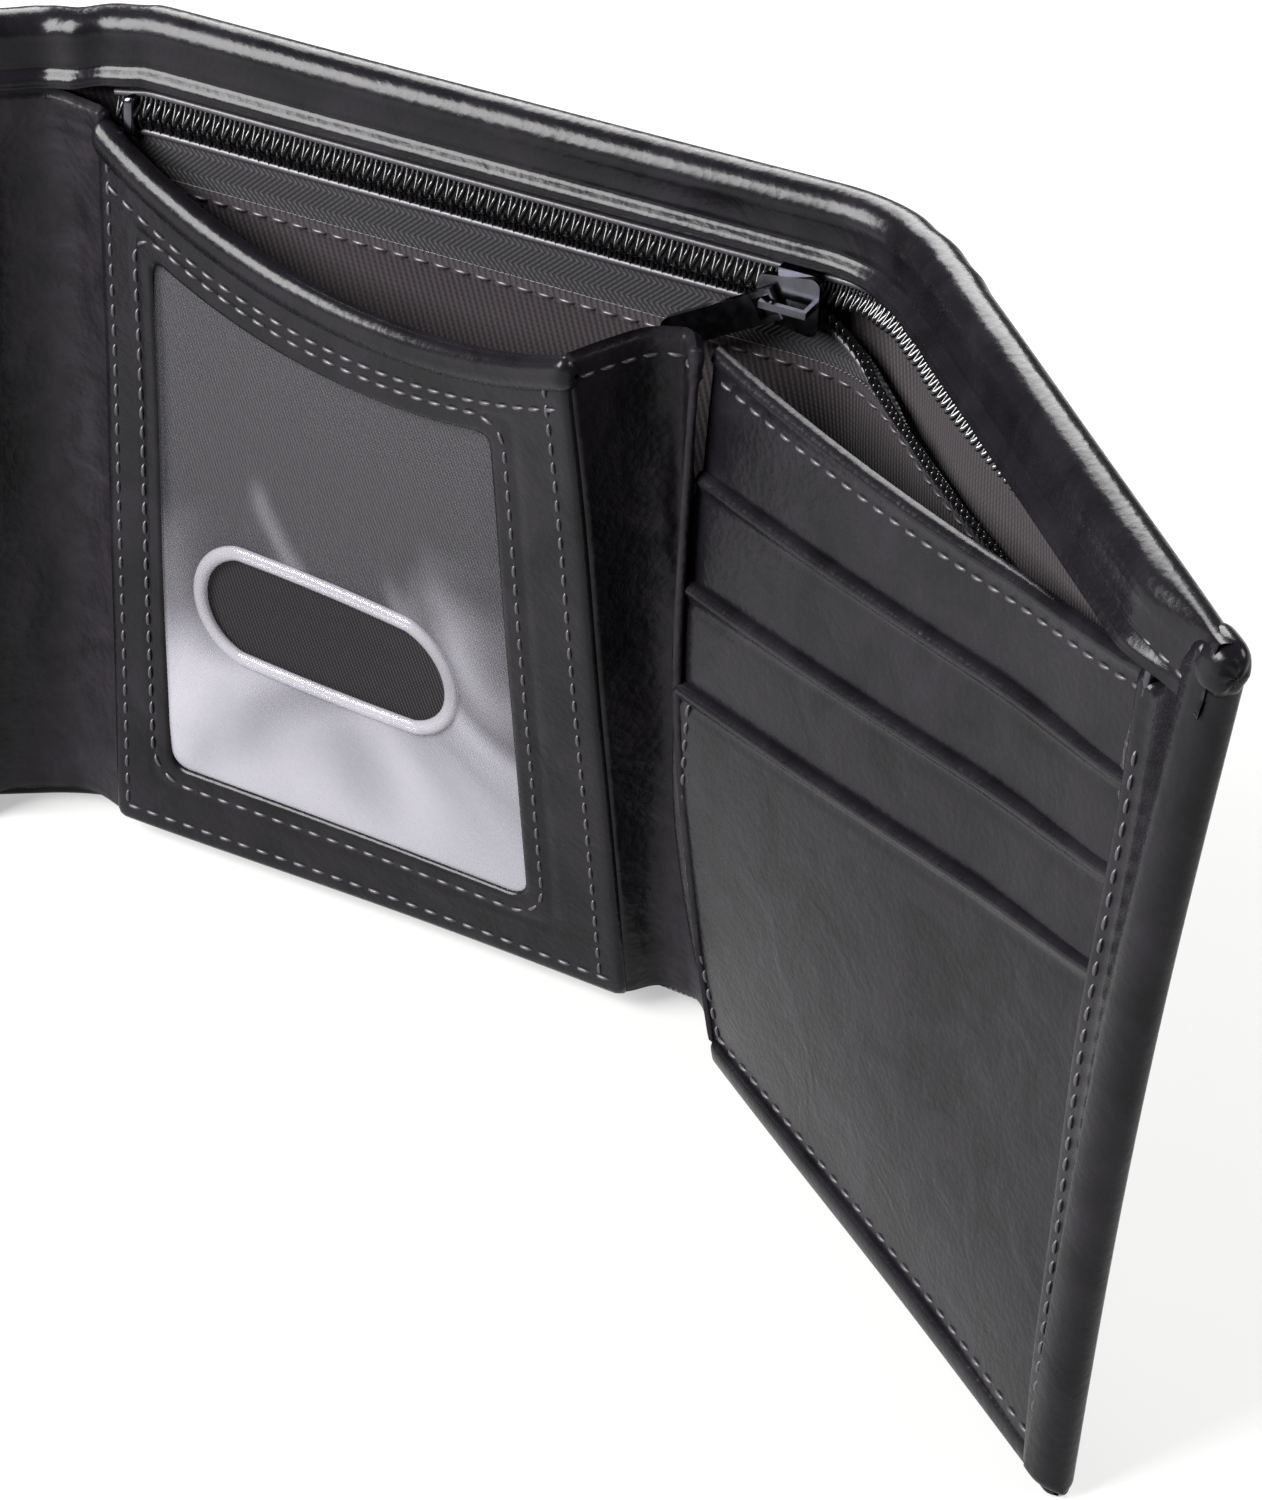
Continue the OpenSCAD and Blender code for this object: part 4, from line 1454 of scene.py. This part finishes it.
@dataclass
class Gusset:
    """A soft strip that joins two inner panels across a fold: a curved face with fine wrinkles."""

    name: str
    first: tuple[InnerFace, float]
    last: tuple[InnerFace, float]
    valley_low: tuple[float, float]
    valley_high: tuple[float, float]
    nodes: tuple[str, str]
    wrinkle: float
    seed: int
    top: float

    def build(self) -> tuple[bpy.types.Object, bpy.types.Object]:
        """Return the gusset and its hem's stitches.

        At each height the gusset is a quadratic curve from one panel's edge to the other's.
        """
        v = np.linspace(0, 1, 150)
        z = 3.0 + v * (self.top - 3.0)
        s = np.linspace(0, 1, 44)
        start = self.first[0].at(np.full_like(z, self.first[1]), z, 0.2)[:, None, :2]
        stop = self.last[0].at(np.full_like(z, self.last[1]), z, 0.2)[:, None, :2]
        low, high = np.array(self.valley_low), np.array(self.valley_high)
        valley = (low * (1 - v[:, None]) + high * v[:, None])[:, None, :]
        control = 2 * valley - (start + stop) / 2
        q = s[None, :, None]
        flat = (1 - q) ** 2 * start + 2 * q * (1 - q) * control + q**2 * stop
        along = np.gradient(flat, axis=1)
        along /= np.linalg.norm(along, axis=-1, keepdims=True)
        out = np.stack([-along[..., 1], along[..., 0]], -1)
        reach = np.linalg.norm(stop - start, axis=-1)
        a, b = np.broadcast_arrays(s[None, :] * 16.0, z[:, None])
        creases = ripple(a * 1.4, b * 0.4, self.seed, 14.0, 8) + 0.16 * ripple(a, b, self.seed + 1, 4.5, 12)
        fade = np.sin(np.pi * s)[None, :] ** 0.6
        shift = self.wrinkle * creases * fade * np.clip(reach / 8.0, 0.3, 1.0)
        z_all = np.broadcast_to(z[:, None], (len(v), len(s)))
        mid = flat + out * shift[..., None]
        hem = 0.35 * (z > self.top - 4.2) - 0.3 * ridge(z, self.top - 3.0, 0.35)
        half = ((0.45 + hem) * rounding(np.minimum(z - 3.0, self.top - z), 0.8) + 0.02)[:, None, None]
        front = np.concatenate([mid - out * half, z_all[..., None]], -1)
        back = np.concatenate([mid + out * half, z_all[..., None]], -1)
        rows, cols = front.shape[:2]
        points = np.concatenate([front, back[:, ::-1]], axis=1)
        faces = quads(rows, 2 * cols, wrap_cols=True)
        j = np.arange(cols - 1)
        cap = np.stack([j, j + 1, 2 * cols - 2 - j, 2 * cols - 1 - j], -1)
        faces = np.concatenate([faces, cap[:, ::-1], cap + (rows - 1) * 2 * cols])
        piece = make_piece(self.name, points, faces)
        dress(piece, FINISH.gusset, nodes=self.nodes)
        row = int(np.argmin(np.abs(z - self.top + 3.0)))
        seam = SEAM.sew(f"seam_{self.name}", front[row, 1:-1], (front - back)[row, 1:-1])
        dress(seam, FINISH.thread)
        return piece, seam


# ---------------------------------------------------------------------------------------------
# The stage
# ---------------------------------------------------------------------------------------------


@dataclass(frozen=True)
class Studio:
    """A pale floor, soft lights, and a camera that looks down on the open wallet from the front right."""

    azimuth: float = 25.9
    elevation: float = 35.0
    roll: float = 2.28
    distance: float = 461.0
    target: tuple[float, float, float] = (84.1, -22.9, 50.0)
    lens_mm: float = 101.2

    def camera(self) -> None:
        """Make the camera."""
        data = bpy.data.cameras.new("camera")
        data.lens = self.lens_mm
        data.sensor_width = 36.0
        data.clip_start = 0.01
        camera = bpy.data.objects.new("camera", data)
        bpy.context.scene.collection.objects.link(camera)
        az, el = math.radians(self.azimuth), math.radians(self.elevation)
        ahead = Vector((-math.sin(az) * math.cos(el), math.cos(az) * math.cos(el), -math.sin(el)))
        target = Vector(spot(*self.target))
        turn = ahead.to_track_quat("-Z", "Y").to_matrix().to_4x4()
        roll = Matrix.Rotation(math.radians(self.roll), 4, "Z")
        camera.matrix_world = Matrix.Translation(target - ahead * self.distance * MM) @ turn @ roll
        bpy.context.scene.camera = camera

    def light(self, name: str, place_mm: tuple[float, float, float], size: float, power: float) -> None:
        """Make one square area light that points at the wallet."""
        data = bpy.data.lights.new(name, "AREA")
        data.shape = "SQUARE"
        data.size = size
        data.energy = power
        lamp = bpy.data.objects.new(name, data)
        bpy.context.scene.collection.objects.link(lamp)
        at = Vector(spot(*place_mm))
        aim = Vector(spot(50.0, -20.0, 50.0))
        lamp.matrix_world = Matrix.Translation(at) @ (aim - at).to_track_quat("-Z", "Y").to_matrix().to_4x4()

    def build(self) -> None:
        """Make the floor, the lights, the sky and the camera."""
        self.camera()
        mesh = bpy.data.meshes.new("floor")
        mesh.from_pydata([(-6, -6, 0), (6, -6, 0), (6, 6, 0), (-6, 6, 0)], [], [(0, 1, 2, 3)])
        floor = bpy.data.objects.new("floor", mesh)
        bpy.context.scene.collection.objects.link(floor)
        material, _, shader = blank("pale_paper_floor")
        shader.inputs["Base Color"].default_value = linear("#828281")
        shader.inputs["Roughness"].default_value = 0.85
        shader.inputs["Emission Color"].default_value = linear("#ffffff")
        shader.inputs["Emission Strength"].default_value = 0.45
        mesh.materials.append(material)
        self.light("front_left_softbox", (-380.0, -560.0, 520.0), 0.55, 34.0)
        self.light("back_softbox", (-200.0, 520.0, 600.0), 0.5, 13.0)
        self.light("right_softbox", (640.0, 60.0, 420.0), 0.3, 4.5)
        world = bpy.data.worlds.new("studio_sky")
        world.use_nodes = True
        world.node_tree.nodes["Background"].inputs[0].default_value = linear("#ffffff")
        world.node_tree.nodes["Background"].inputs[1].default_value = 0.12
        bpy.context.scene.world = world
        bpy.context.scene.view_settings.view_transform = "Standard"


def main() -> None:
    """Build the wallet piece by piece."""
    logging.basicConfig(level=logging.INFO, format="%(name)s %(message)s")
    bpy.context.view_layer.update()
    Studio().build()
    OuterCover().build()
    ZipPocket().build()
    CentrePanel().build()
    WingPockets(
        "right",
        RIGHT_FACE,
        Body.RIGHT,
        74.0,
        ((96.0, 99.0), (81.6, 86.8), (68.4, 76.6), (55.6, 65.8)),
        2.6,
        3.0,
    ).build()
    WingPockets(
        "left",
        LEFT_FACE,
        Body.LEFT,
        64.0,
        ((96.0, 96.0), (82.5, 82.5), (69.5, 69.5), (56.5, 56.5)),
        2.0,
        0.5,
    ).build()
    right = Gusset(
        "gusset_right_soft",
        (CENTRE_FACE, 71.6),
        (RIGHT_FACE, 0.6),
        (83.6, -4.4),
        (81.4, -12.6),
        ("gusset_right_centre", "gusset_right_wing"),
        0.4,
        41,
        97.2,
    ).build()
    for piece in right:
        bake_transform(piece)
    left = Gusset(
        "gusset_left_soft",
        (CENTRE_FACE, 0.4),
        (LEFT_FACE, 0.6),
        (-4.4, -5.4),
        (-2.6, -5.2),
        ("gusset_left_centre", "gusset_left_wing"),
        0.25,
        51,
        100.5,
    ).build()
    for piece in left:
        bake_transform(piece)
    for node in ("zip_slider", "zip_pull"):
        dress(frame["nodes"][node], FINISH.metal)


if __name__ == "__main__":
    main()
